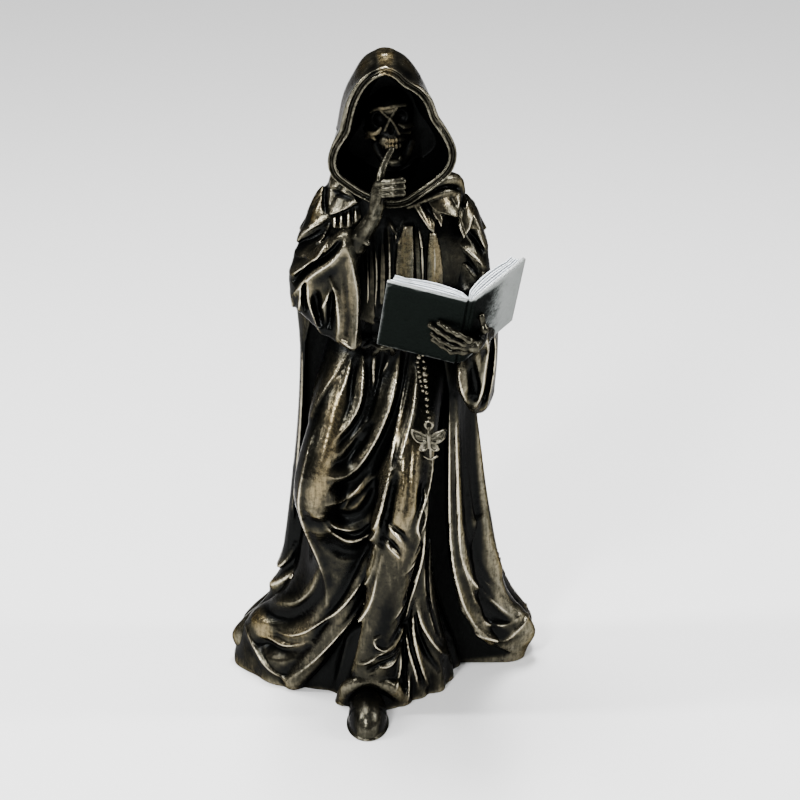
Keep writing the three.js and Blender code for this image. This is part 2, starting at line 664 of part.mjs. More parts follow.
// The raised hand: one finger to the lips, three folded one above another.
function raisedHand(clay) {
  clay.add(limb([[-14, -22.5, 175, 3.4], [-9.5, -26, 181.5, 3.1], [-6, -27, 188, 2.7]]), 1.5);
  clay.add(limb([[-6, -27, 188, 2.7], [-4, -27.2, 193, 3.3], [-2.5, -27.2, 197, 3.1]]), 1);
  clay.add(limb([[-2.8, -27.5, 197.5, 1.9], [-3, -26, 202.3, 1.5], [-0.6, -23.6, 205.7, 1.5], [1.8, -21.6, 209.2, 1.25]]), 0.6);
  for (const row of [0, 1, 2]) {
    const z = 199.6 - 2.6 * row;
    clay.add(limb([[-2.6, -28, z, 1.5], [0.6, -31, z + 0.3, 1.5], [4.6 - 0.4 * row, -29.5, z + 0.1, 1.5], [3.6, -26.5, z - 0.4, 1.4]]), 0.3);
  }
}

// The hand under the book: a palm behind the sleeve's mouth and four fingers up the cover's face.
function bookHand(clay, book) {
  clay.add(limb([[30.5, -30, 145.5, 3.6], [29, -39, 144, 3.6], [27, -43, 143, 3.4]]), 1);
  for (const row of [0, 1, 2, 3]) {
    const along = 2.4 + 3.5 * row;
    const tip = book.at(-11.5 + row, along + 2.2, -coverThickness - 1.4);
    const middle = book.at(-5, along + 1.2, -coverThickness - 2.6);
    const root = book.at(1.5, along - 1.5, -coverThickness - 2.6);
    clay.add(limb([[...root, 1.5], [...middle, 1.35], [...tip, 1.15]], 3), 0.2);
  }
  clay.add(limb([[30, -40, 145, 2.4], [33, -42.5, 149.5, 1.9], [32, -42.5, 154.5, 1.5]]), 0.8);
}

// A double string of beads from the belt, with a winged charm and a small foot under it.
function beads(clay) {
  clay.add(limb([[11.5, -19, 136, 1.2], [12.4, -21, 124, 1.2], [14, -21.5, 109, 1.2]]), 0.4);
  clay.add(limb([[14.3, -22.5, 109, 1.2], [14.3, -22.5, 98.5, 1.3]]), 0.4);
  for (const side of [-1, 1]) clay.add(ball([14.3 + side * 3.4, -22.5, 106], [3.2, 1.3, 1.7], side * 0.35), 0.4);
  clay.add(ball([14.3, -22.5, 98.6], [2.6, 1.3, 1]), 0.4);
}

// The main folds of the robe and cloak. Each is a size and the way it runs in the front view.
const robeFolds = [
  [2.4, [[-15, 134], [-20, 125], [-25, 117], [-28, 108]]],
  [2, [[-24, 112], [-29, 99], [-31, 88], [-31, 74], [-27, 60], [-24, 46], [-23, 36]]],
  [2, [[-8, 131], [-10, 120], [-14, 110], [-19, 104]]],
  [2.6, [[4, 135], [1, 120], [-3, 108], [-8, 98], [-14, 92.5], [-20, 93]]],
  [2, [[-3, 92], [-8, 92], [-13, 87], [-19, 82]]],
  [2.3, [[-3, 82], [-6, 73], [-11, 68], [-17, 70], [-22, 75]]],
  [1.8, [[8, 126], [7, 115], [3, 101], [1, 88]]],
  [2, [[15, 98], [15, 88], [11.5, 79], [11, 72]]],
  [1.8, [[14, 78], [12.5, 66], [12, 54], [9, 44], [5, 32], [2, 26]]],
  [1.8, [[2, 26], [-3, 24.5], [-7, 29]]],
  [1.8, [[-15, 174], [-13, 162], [-14, 152], [-17, 138]]],
  [1.6, [[-4.5, 176], [-5, 160], [-3, 147], [0, 150], [0, 168]]],
  [1.8, [[9, 181], [11.5, 166], [12, 152]]],
  [1.8, [[23, 180], [26, 174], [33, 164]]],
];
const cloakFolds = [
  [2, [[19.6, 104], [20.6, 80], [22, 62], [23.6, 43], [28, 27], [35, 13]]],
  [2, [[25, 112], [26, 88], [28, 54], [33, 26]]],
  [2.4, [[28, 50], [34, 27], [43, 12]]],
  [2.4, [[31, 44], [40, 23], [50, 14]]],
  [2.6, [[-30, 44], [-36, 24], [-50, 14]]],
  [2.4, [[-26, 34], [-34, 18], [-48, 9]]],
];

// The book's own frame: across to the right, up along the spine, and away from the reader's pages.
function bookFrame() {
  const [tilt, roll] = [THREE.MathUtils.degToRad(bookTilt), THREE.MathUtils.degToRad(bookRoll)];
  const facing = v(0, Math.cos(tilt), Math.sin(tilt));
  const upright = v(0, -Math.sin(tilt), Math.cos(tilt));
  const spine = upright.clone().multiplyScalar(Math.cos(roll)).add(v(Math.sin(roll), 0, 0));
  const across = v(Math.cos(roll), 0, 0).addScaledVector(upright, -Math.sin(roll));
  const foot = v(...spineTop).addScaledVector(spine, -coverHeight);
  const at = (u, s, n) => {
    const p = foot.clone().addScaledVector(across, u).addScaledVector(spine, s).addScaledVector(facing, n);
    return [p.x, p.y, p.z];
  };
  return { at };
}

// A closed prism along the book's spine over an outline of [across, towards the pages] points.
function bookPrism(book, outline, from, to) {
  const shape = outline.map(([u, n]) => new THREE.Vector2(u, n));
  if (THREE.ShapeUtils.isClockWise(shape)) shape.reverse();
  const count = shape.length;
  const points = [];
  for (const s of [from, to]) for (const p of shape) points.push(...book.at(p.x, s, p.y));
  const faces = [];
  for (const [a, b, c] of THREE.ShapeUtils.triangulateShape(shape, [])) {
    faces.push(a, c, b, a + count, b + count, c + count);
  }
  for (let i = 0; i < count; i++) {
    const j = (i + 1) % count;
    faces.push(i, j + count, i + count, i, j, j + count);
  }
  return { points, faces };
}

// The covers as one bent board, with a page stack on each that curves down into the spine.
function bookOutlines(grow) {
  const covers = [];
  const pages = [];
  for (const [side, opening] of [[-1, leftOpening], [1, rightOpening]]) {
    const turn = THREE.MathUtils.degToRad(opening);
    const place = (along, up) => [
      side * (along * Math.cos(turn) - up * Math.sin(turn)),
      along * Math.sin(turn) + up * Math.cos(turn),
    ];
    covers.push([place(0.5, -coverThickness - grow), place(coverWidth + grow, -coverThickness - grow)]);
    covers[covers.length - 1].push(place(coverWidth + grow, grow));
    const top = pageStack + grow;
    const end = coverWidth - pageInset + grow;
    const stack = [[0, -0.2], [end, -0.2], [end, top * 0.8]];
    for (const t of [0.8, 0.6, 0.4, 0.25, 0.12]) stack.push([end * t, top * (0.55 + 0.45 * Math.sin(t * Math.PI))]);
    stack.push([0.4, top * 0.3]);
    pages.push(stack.map(([along, up]) => place(along, up)));
  }
  const fold = [0, 0.6 + grow];
  return { cover: [...covers[0], fold, ...covers[1].reverse()], pages };
}

function solidOf({ points, faces }) {
  const mesh = new wasm.Mesh({
    numProp: 3,
    vertProperties: new Float32Array(points),
    triVerts: new Uint32Array(faces),
  });
  return new wasm.Manifold(mesh);
}

function bookSolid(book, grow) {
  const { cover, pages } = bookOutlines(grow);
  let solid = solidOf(bookPrism(book, cover, -grow, coverHeight + grow));
  for (const stack of pages)
    solid = solid.add(solidOf(bookPrism(book, stack, pageInset - grow, coverHeight - pageInset + grow)));
  return solid;
}

function figureSolid(book) {
  const clay = new Clay(v(-66, -56, -groundDepth - 4), v(66, 58, 246), clayStep);
  cloak(clay);
  robe(clay);
  skirtHem(clay);
  shoe(clay);
  torso(clay);
  raisedSleeve(clay);
  bookSleeve(clay);
  mantle(clay);
  for (const [size, route] of [...robeFolds, ...cloakFolds]) fold(clay, size, route);
  hood(clay);
  skull(clay);
  raisedHand(clay);
  bookHand(clay, book);
  beads(clay);
  clay.cut({
    box: new THREE.Box3(v(-66, -56, -groundDepth - 4), v(66, 58, -groundDepth)),
    distance: (x, y, z) => z + groundDepth,
  });
  clay.seal();
  const rough = largest(clay.surface());
  const weightAt = ([, , z]) => mix(1, headWeight, clamp01((z - headHeight) / 20));
  const casting = solidOf(coarsen(rough, castingTriangles, weightAt));
  return casting.trimByPlane([0, 0, 1], 0).subtract(bookSolid(book, bookGap));
}

const book = bookFrame();
const solids = { hooded_figure: figureSolid(book), open_book: bookSolid(book, 0) };
const bounds = new THREE.Box3();
for (const solid of Object.values(solids)) {
  const { min, max } = solid.boundingBox();
  bounds.union(new THREE.Box3(v(...min), v(...max)));
}
const middle = bounds.getCenter(v(0, 0, 0));

const finishes = {
  hooded_figure: { color: "#3b3122", roughness: 0.38, metalness: 0.85 },
  open_book: { color: "#8f9690", roughness: 0.45, metalness: 0.1 },
};

const group = new THREE.Group();
for (const [name, solid] of Object.entries(solids)) {
  const { numProp, vertProperties, triVerts } = solid.getMesh();
  const positions = [];
  for (let i = 0; i < vertProperties.length; i += numProp)
    positions.push(vertProperties[i] - middle.x, vertProperties[i + 1] - middle.y, vertProperties[i + 2] - bounds.min.z);
  const geometry = new THREE.BufferGeometry();
  geometry.setAttribute("position", new THREE.Float32BufferAttribute(positions, 3));
  geometry.setIndex([...triVerts]);
  const mesh = new THREE.Mesh(geometry, new THREE.MeshStandardMaterial(finishes[name]));
  mesh.name = name;
  group.add(mesh);
}
export default group;
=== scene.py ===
import math

import bmesh
import bpy
import numpy as np
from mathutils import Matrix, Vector


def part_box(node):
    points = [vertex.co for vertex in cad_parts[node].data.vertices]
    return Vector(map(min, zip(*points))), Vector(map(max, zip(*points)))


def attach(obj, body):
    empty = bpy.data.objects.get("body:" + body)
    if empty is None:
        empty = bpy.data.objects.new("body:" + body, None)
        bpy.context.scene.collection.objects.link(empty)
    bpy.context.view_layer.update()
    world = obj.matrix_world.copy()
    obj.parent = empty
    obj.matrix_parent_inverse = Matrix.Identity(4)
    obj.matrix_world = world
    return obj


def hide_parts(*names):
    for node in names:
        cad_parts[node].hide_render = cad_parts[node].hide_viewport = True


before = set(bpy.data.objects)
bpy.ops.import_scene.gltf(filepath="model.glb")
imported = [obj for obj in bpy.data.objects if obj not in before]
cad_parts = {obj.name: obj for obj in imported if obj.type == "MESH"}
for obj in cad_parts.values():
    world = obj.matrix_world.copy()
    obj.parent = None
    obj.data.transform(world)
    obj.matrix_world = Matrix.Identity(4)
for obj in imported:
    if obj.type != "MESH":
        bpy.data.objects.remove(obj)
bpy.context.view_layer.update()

# A cast bronze-finish figure of a hooded skeleton, reading an open book.
# The forms are modelled in millimetres as signed distances and meshed piece by piece.
# Left and right are as seen from in front, and the figure faces -Y.

# The book's sizes, which the hand under it shares, in millimetres and degrees.
sizes = {
    "coverWidth": 28.5,
    "coverHeight": 31.0,
    "coverThickness": 1.3,
    "pageStack": 4.8,
    "pageInset": 0.7,
    "bookTilt": 29.0,
    "bookRoll": 6.5,
    "leftOpening": 13.0,
    "rightOpening": 50.0,
    "spineTop": (27.5, -52.0, 165.5),
}


# A cubic from a to b that leaves along m and arrives along n, as t goes from nought to one.
def cubic(a, b, m, n, t):
    start = a * (2 * t**3 - 3 * t**2 + 1) + m * (t**3 - 2 * t**2 + t)
    return start + b * (3 * t**2 - 2 * t**3) + n * (t**3 - t**2)


# Smooth curve through rows of stations, resampled at an even spacing of its leading space columns.
def strand(stations, spacing=2.0, space=3):
    p = np.array(stations, dtype=float)
    gaps = np.sqrt(np.linalg.norm(np.diff(p[:, :space], axis=0), axis=1)) + 1e-6
    knots = np.concatenate([[0.0], np.cumsum(gaps)])
    slopes = np.diff(p, axis=0) / gaps[:, None]
    tangents = np.empty_like(p)
    tangents[0] = slopes[0]
    tangents[-1] = slopes[-1]
    for i in range(1, len(p) - 1):
        across = (p[i + 1] - p[i - 1]) / (knots[i + 1] - knots[i - 1])
        tangents[i] = slopes[i - 1] - across + slopes[i]
    fine = np.linspace(0, knots[-1], 24 * len(p))
    span = np.clip(np.searchsorted(knots, fine, side="right") - 1, 0, len(p) - 2)
    t = ((fine - knots[span]) / gaps[span])[:, None]
    width = gaps[span][:, None]
    curve = cubic(p[span], p[span + 1], tangents[span] * width, tangents[span + 1] * width, t)
    walked = np.concatenate([[0.0], np.cumsum(np.linalg.norm(np.diff(curve[:, :space], axis=0), axis=1))])
    count = max(3, int(round(walked[-1] / spacing)) + 1)
    even = np.linspace(0, walked[-1], count)
    return np.column_stack([np.interp(even, walked, curve[:, c]) for c in range(p.shape[1])])


cellCorners = [(i, j, k) for i in (0, 1) for j in (0, 1) for k in (0, 1)]


# Modelling clay: signed distances in millimetres on a regular grid, positive outside.
class Clay:
    def __init__(self, low, high, step, reach=7.0):
        self.low = np.array(low, dtype=np.float32)
        self.step = step
        self.count = np.ceil((np.array(high) - self.low) / step).astype(int) + 1
        self.field = np.full(tuple(self.count), reach, dtype=np.float32)
        self.relief = None

    # The part of the grid within a box, as slices and as three arrays of coordinates.
    def window(self, low, high):
        first = np.clip(np.floor((np.array(low) - self.low) / self.step).astype(int), 0, self.count)
        last = np.clip(np.ceil((np.array(high) - self.low) / self.step).astype(int) + 1, 0, self.count)
        spans = tuple(slice(a, b) for a, b in zip(first, last))
        rows = [self.low[k] + self.step * np.arange(first[k], last[k], dtype=np.float32) for k in range(3)]
        return spans, (rows[0][:, None, None], rows[1][None, :, None], rows[2][None, None, :])

    def reshape(self, shape, blend, cut):
        low, high, distance = shape
        grow = blend + 3 * self.step
        spans, grid = self.window(np.array(low) - grow, np.array(high) + grow)
        if any(s.stop <= s.start for s in spans):
            return
        old = self.field[spans]
        far = distance(*grid).astype(np.float32)
        sign = -1 if cut else 1
        old = old * sign
        new = np.minimum(old, far)
        if blend:
            new -= np.maximum(blend - np.abs(old - far), 0) ** 2 / (4 * blend)
        self.field[spans] = new * sign

    def join(self, shape, blend=0.0):
        self.reshape(shape, blend, False)

    def carve(self, shape, blend=0.0):
        self.reshape(shape, blend, True)

    # Joins a tube for each (blend, stations) given.
    def joinTubes(self, *tubes, spacing=2.0):
        for blend, stations in tubes:
            self.join(tube(stations, spacing), blend)

    # The depth of the first surface met at points of the front view. Points off it take their neighbours'.
    def front(self, x, z):
        i = np.clip(np.round((x - self.low[0]) / self.step).astype(int), 0, self.count[0] - 1)
        k = np.clip(np.round((z - self.low[2]) / self.step).astype(int), 0, self.count[2] - 1)
        columns = self.field[i, :, k]
        solid = columns < 0
        found = solid.any(axis=1)
        j = np.maximum(solid.argmax(axis=1), 1)
        rows = np.arange(len(i))
        here, before = columns[rows, j], columns[rows, j - 1]
        depth = self.low[1] + (j - here / (here - before - 1e-9)) * self.step
        if not found.any():
            return np.zeros(len(i))
        return np.interp(rows, rows[found], depth[found])

    # Raises the front of the clay by a relief in the front view, fading out behind its surface.
    def emboss(self, relief, depth=7.0):
        x, y, z = self.window(self.low, self.low + self.count * self.step)[1]
        shape = (self.count[0], self.count[2])
        u = np.broadcast_to(x[:, 0, :], shape).ravel()
        v = np.broadcast_to(z[0], shape).ravel()
        height = relief.read(relief.height, u, v).reshape(shape)
        solid = self.field < 0
        first = solid.argmax(axis=1)
        front = np.where(solid.any(axis=1), self.low[1] + first * self.step, 1e3)[:, None, :]
        fade = np.clip(1.3 - (y - front) / depth, 0, 1)
        self.field -= (height[:, None, :] * fade).astype(np.float32)
        self.relief = relief

    # The field read between grid points.
    def sample(self, points, field=None):
        field = self.field if field is None else field
        at = (points - self.low) / self.step
        cell = np.clip(np.floor(at).astype(int), 0, self.count - 2)
        t = np.clip(at - cell, 0, 1)
        total = np.zeros(len(points))
        for corner in cellCorners:
            x, y, z = (t[:, k] if corner[k] else 1 - t[:, k] for k in range(3))
            total += x * y * z * field[tuple((cell + corner).T)]
        return total

    def slope(self, points, reach=None):
        reach = reach or self.step
        parts = []
        for axis in range(3):
            offset = np.zeros(3)
            offset[axis] = reach
            parts.append(self.sample(points + offset) - self.sample(points - offset))
        normal = np.stack(parts, axis=1)
        return normal / (np.linalg.norm(normal, axis=1, keepdims=True) + 1e-9)

    # The field averaged over a neighbourhood, to tell ridges from hollows.
    def softened(self, strides):
        soft = self.field.copy()
        for stride in strides:
            for axis in range(3):
                soft += 0.5 * (np.roll(soft, stride, axis) + np.roll(soft, -stride, axis)) - soft * 0.5
                soft *= 2 / 3
        return soft

    # For each of a cell's eight corners, whether it is inside, for every cell.
    def cornersInside(self):
        spans = (tuple(slice(k, n - 1 + k) for k, n in zip(corner, self.count)) for corner in cellCorners)
        return [(self.field[span] < 0).astype(np.uint8) for span in spans]

    # Fills corners of cells whose inside or outside falls in two, so that the surface never meets itself.
    def seal(self):
        split = np.zeros(256, dtype=bool)
        for mask in range(1, 255):
            for part in (mask, 255 - mask):
                group = part & -part
                for _ in range(8):
                    for c in range(8):
                        if group >> c & 1:
                            group |= part & (1 << (c ^ 1) | 1 << (c ^ 2) | 1 << (c ^ 4))
                split[mask] |= group != part
        for _ in range(12):
            mask = sum(part << bit for bit, part in enumerate(self.cornersInside()))
            cells = np.argwhere(split[mask])
            if not len(cells):
                return
            values = np.stack([self.field[tuple((cells + c).T)] for c in cellCorners], axis=1)
            values[values < 0] = 1e9
            chosen = cells + np.array(cellCorners)[values.argmin(axis=1)]
            self.field[tuple(chosen.T)] = -0.02 * self.step

    # The closed surface as points and quads: one point in each cell that the surface crosses, drawn on to it.
    def surface(self):
        solid = self.field < 0
        inside = sum(self.cornersInside())
        cells = np.argwhere((inside > 0) & (inside < 8))
        number = np.full(inside.shape, -1, dtype=np.int32)
        number[tuple(cells.T)] = np.arange(len(cells))
        corners = np.array(cellCorners)
        values = np.stack([self.field[tuple((cells + c).T)] for c in corners], axis=1)
        total = np.zeros((len(cells), 3))
        crossed = np.zeros(len(cells))
        for a in range(8):
            for b in range(a + 1, 8):
                step = corners[b] - corners[a]
                if np.abs(step).sum() != 1:
                    continue
                da, db = values[:, a], values[:, b]
                cut = (da < 0) != (db < 0)
                t = np.where(cut, da / np.where(cut, da - db, 1), 0)
                total += cut[:, None] * (corners[a] + t[:, None] * step)
                crossed += cut
        points = self.low + (cells + total / crossed[:, None]) * self.step
        quads = []
        back = np.eye(3, dtype=int)
        for axis in range(3):
            u, w = (axis + 1) % 3, (axis + 2) % 3
            ahead = np.roll(solid, -1, axis)
            change = solid != ahead
            change[tuple(-1 if k == axis else slice(None) for k in range(3))] = False
            at = np.argwhere(change)
            ring = [number[tuple((at - s).T)] for s in (0 * back[u], back[u], back[u] + back[w], back[w])]
            quad = np.stack(ring, axis=1)
            flip = ~solid[tuple(at.T)]
            quad[flip] = quad[flip][:, ::-1]
            quads.append(quad)
        most = 0.3 * self.step
        for _ in range(2):
            points = points - self.slope(points) * np.clip(self.sample(points), -most, most)[:, None]
        return points, np.concatenate(quads)


# Creases (positive heights) and furrows (negative) drawn over a flat view of the cloth, in millimetres. A
# stroke is (height, west, east, sharp, route): its route runs downwards, and it falls away to the left and
# right of its crest over the two widths. Plateaus are areas raised by a height, with a soft edge.
class Relief:
    def __init__(self, low, high, strokes, step=0.3, plateaus=()):
        self.low = np.array(low, dtype=float)
        self.step = step
        self.count = np.ceil((np.array(high) - self.low) / step).astype(int) + 1
        self.up, self.down, self.crest = (np.zeros(tuple(self.count)) for _ in range(3))
        for height, west, east, sharp, route in strokes:
            self.stroke(height, west, east, sharp, route)
        for height, soft, outline in plateaus:
            u = (self.low[0] + step * np.arange(self.count[0]))[:, None]
            v = (self.low[1] + step * np.arange(self.count[1]))[None, :]
            inside = np.clip(0.5 - outlineDistance(outline, u, v) / soft, 0, 1)
            self.up += (height * inside * inside * (3 - 2 * inside)) ** 3
        self.height = np.cbrt(self.up) - np.cbrt(self.down)

    def stroke(self, height, west, east, sharp, route):
        path = strand(route, 1.0, 2)
        reach = max(west, east, 1.2)
        low = (path.min(axis=0) - reach - self.low) / self.step
        high = (path.max(axis=0) + reach - self.low) / self.step
        first = np.clip(np.floor(low).astype(int), 0, self.count - 1)
        last = np.clip(np.ceil(high).astype(int) + 1, 1, self.count)
        spans = slice(first[0], last[0]), slice(first[1], last[1])
        u = (self.low[0] + self.step * np.arange(first[0], last[0]))[:, None]
        v = (self.low[1] + self.step * np.arange(first[1], last[1]))[None, :]
        best = np.full((u.shape[0], v.shape[1]), 1e9)
        side, along = np.zeros_like(best), np.zeros_like(best)
        for i, (a, b) in enumerate(zip(path[:-1], path[1:])):
            d = b - a
            t = np.clip(((u - a[0]) * d[0] + (v - a[1]) * d[1]) / (d @ d + 1e-9), 0, 1)
            gap = np.hypot(u - a[0] - t * d[0], v - a[1] - t * d[1])
            closer = gap < best
            best = np.where(closer, gap, best)
            side = np.where(closer, d[0] * (v - a[1]) - d[1] * (u - a[0]), side)
            along = np.where(closer, (i + t) / (len(path) - 1), along)
        fall = np.clip(1 - best / np.where(side > 0, east, west), 0, 1)
        keen = max(0, 1.25 * sharp - 0.25)
        profile = keen * fall**2 + (1 - keen) * fall**2 * (3 - 2 * fall)
        taper = np.sin(np.pi * (0.06 + 0.88 * along)) ** 0.6
        target = self.up if height > 0 else self.down
        target[spans] += (abs(height) * taper * profile) ** 3
        if height > 0:
            line = np.clip(1.25 - best / 0.55, 0, 1) * np.sin(np.pi * (0.02 + 0.96 * along)) ** 0.5 * keen
            self.crest[spans] = np.maximum(self.crest[spans], line)

    def read(self, table, u, v):
        a = np.clip((u - self.low[0]) / self.step, 0, self.count[0] - 1.001)
        b = np.clip((v - self.low[1]) / self.step, 0, self.count[1] - 1.001)
        i, j = a.astype(int), b.astype(int)
        s, t = a - i, b - j
        upper = table[i, j] * (1 - s) + table[i + 1, j] * s
        lower = table[i, j + 1] * (1 - s) + table[i + 1, j + 1] * s
        return upper * (1 - t) + lower * t


def limits(stations, grow):
    p = np.array(stations)[:, :3]
    return p.min(axis=0) - grow, p.max(axis=0) + grow


# A bending tube through stations of (x, y, z, radius).
def tube(stations, spacing=2.0):
    path = strand(stations, spacing)
    thick = path[:, 3].max()
    margin = 7.0

    def distance(x, y, z):
        rows = (x.ravel(), y.ravel(), z.ravel())
        out = np.full((len(rows[0]), len(rows[1]), len(rows[2])), margin, dtype=np.float32)
        for a, b in zip(path[:-1], path[1:]):
            low = np.minimum(a[:3], b[:3]) - thick - margin
            high = np.maximum(a[:3], b[:3]) + thick + margin
            spans = tuple(slice(*np.searchsorted(row, (l, h))) for row, l, h in zip(rows, low, high))
            wx, wy, wz = x[spans[0]] - a[0], y[:, spans[1]] - a[1], z[:, :, spans[2]] - a[2]
            u = b[:3] - a[:3]
            t = np.clip((wx * u[0] + wy * u[1] + wz * u[2]) / (u @ u + 1e-9), 0, 1)
            gap = (wx - t * u[0]) ** 2 + (wy - t * u[1]) ** 2 + (wz - t * u[2]) ** 2
            near = np.sqrt(gap) - (a[3] + t * (b[3] - a[3]))
            out[spans] = np.minimum(out[spans], near)
        return out

    return (*limits(path, thick), distance)


# An ellipsoid about a centre with three half sizes, rolled in the front view.
def ball(centre, radii, roll=0.0):
    c, s = math.cos(roll), math.sin(roll)
    rx, ry, rz = radii

    def distance(x, y, z):
        px = (x - centre[0]) * c + (z - centre[2]) * s
        py = y - centre[1]
        pz = (z - centre[2]) * c - (x - centre[0]) * s
        outer = np.sqrt((px / rx) ** 2 + (py / ry) ** 2 + (pz / rz) ** 2)
        inner = np.sqrt((px / rx**2) ** 2 + (py / ry**2) ** 2 + (pz / rz**2) ** 2)
        return outer * (outer - 1) / np.maximum(inner, 1e-4)

    return (*limits([centre], max(radii)), distance)


# Values of station rows at heights, by a smooth curve through them. The first column is the height.
def between(rows, z):
    p = np.array(sorted(rows), dtype=float)
    h = p[:, 0]
    slopes = np.diff(p, axis=0) / np.diff(h)[:, None]
    tangents = np.vstack([slopes[:1], (p[2:] - p[:-2]) / (h[2:] - h[:-2])[:, None], slopes[-1:]])
    z = np.clip(z, h[0], h[-1])
    i = np.clip(np.searchsorted(h, z, side="right") - 1, 0, len(h) - 2)
    width = (h[i + 1] - h[i])[:, None]
    t = (z - h[i])[:, None] / width
    return cubic(p[i], p[i + 1], tangents[i] * width, tangents[i + 1] * width, t)[:, 1:]


# A solid of oval sections through rows of (z, middle x, middle y, half width, half depth). Its folds are a
# function of the angle about it, nought at the front and growing to the right, and of the height.
def loft(rows, folds=None):
    table = np.array(rows, dtype=float)
    top, bottom = table[:, 0].max(), table[:, 0].min()
    low = (table[:, 1] - table[:, 3]).min() - 5, (table[:, 2] - table[:, 4]).min() - 5, bottom
    high = (table[:, 1] + table[:, 3]).max() + 5, (table[:, 2] + table[:, 4]).max() + 5, top

    def distance(x, y, z):
        cx, cy, rx, ry = (c[None, None, :].astype(np.float32) for c in between(rows, z.ravel()).T)
        if folds:
            grow = folds(np.arctan2((x - cx) / rx, -(y - cy) / ry), z)
            rx, ry = rx + grow, ry + grow
        ex, ey = (x - cx) / rx, (y - cy) / ry
        outer = np.sqrt(ex**2 + ey**2)
        inner = np.sqrt((ex / rx) ** 2 + (ey / ry) ** 2)
        side = outer * (outer - 1) / np.maximum(inner, 1e-4)
        return np.maximum(np.maximum(side, z - top), bottom - z)

    return low, high, distance


# How far points of the front view are outside an outline of (x, z) points, negative inside.
def outlineDistance(outline, x, z):
    nearest = np.full(np.broadcast_shapes(x.shape, z.shape), 1e9, dtype=np.float32)
    inside = np.zeros(nearest.shape, dtype=bool)
    for (ax, az), (bx, bz) in zip(outline, outline[1:] + outline[:1]):
        ux, uz = bx - ax, bz - az
        t = np.clip(((x - ax) * ux + (z - az) * uz) / (ux * ux + uz * uz + 1e-9), 0, 1)
        nearest = np.minimum(nearest, np.hypot(x - ax - t * ux, z - az - t * uz))
        if abs(uz) > 1e-9:
            inside ^= ((az > z) != (bz > z)) & (x < ax + (z - az) / uz * ux)
    return np.where(inside, -nearest, nearest)


# The space inside an outline in the front view, from well in front of the figure to a depth behind.
def doorway(outline, back):
    low = min(x for x, z in outline), -60.0, min(z for x, z in outline)
    high = max(x for x, z in outline), back, max(z for x, z in outline)
    return low, high, lambda x, y, z: np.maximum(outlineDistance(outline, x, z), y - back)


# Cloth hung between an upper and a lower line of (x, y, z) points, in a row of soft pleats.
def curtain(clay, upper, lower, pleats, radiusAbove, radiusBelow):
    above = strand(upper, 0.5)
    below = strand(lower, 0.5)
    for i in range(pleats):
        a = above[int(round(i / (pleats - 1) * (len(above) - 1)))]
        b = below[int(round(i / (pleats - 1) * (len(below) - 1)))]
        clay.join(tube([(*a[:3], radiusAbove), (*b[:3], radiusBelow)], 4), 4)


# A row of rounded pleats, as a function of the angle about a piece.
def pleat(turn):
    return np.abs(np.sin(turn)) ** 0.8 - 0.6


# The dark space below the skull, inside the hood.
def throat():
    return ball((0.5, -8, 201), (14, 13, 12))


# The cloak: a tall shell open in front, whose hem flares over the ground. One degree about it counts as
# turnWidth millimetres in its back folds.
cloakForm = {
    "pleatCount": 5.5,
    "pleatDepth": 4.2,
    "tuckDepth": 8.0,
    "openingBack": 6.0,
    "turnWidth": 0.6,
    "step": 0.62,
}
cloakRows = [
    (200, 1, 2, 12, 10),
    (190, 1.5, 4, 22, 14.4),
    (180, 2, 4, 28, 17),
    (168, 1.8, 4.2, 31.6, 18.6),
    (150, 1, 5, 33.5, 20),
    (130, 0.5, 7, 32, 20),
    (106, -0.5, 9, 32.3, 20),
    (86, -0.3, 11, 33.8, 20),
    (65, 0.3, 12, 36.3, 21),
    (40, 1.5, 14, 41, 24),
    (27, 2, 16, 46, 26),
    (16, 0.5, 18.5, 54.5, 29),
    (10, -0.5, 20, 57, 30),
    (4, -1, 20, 54.5, 28.5),
    (-4, -1, 20, 52, 26.5),
]
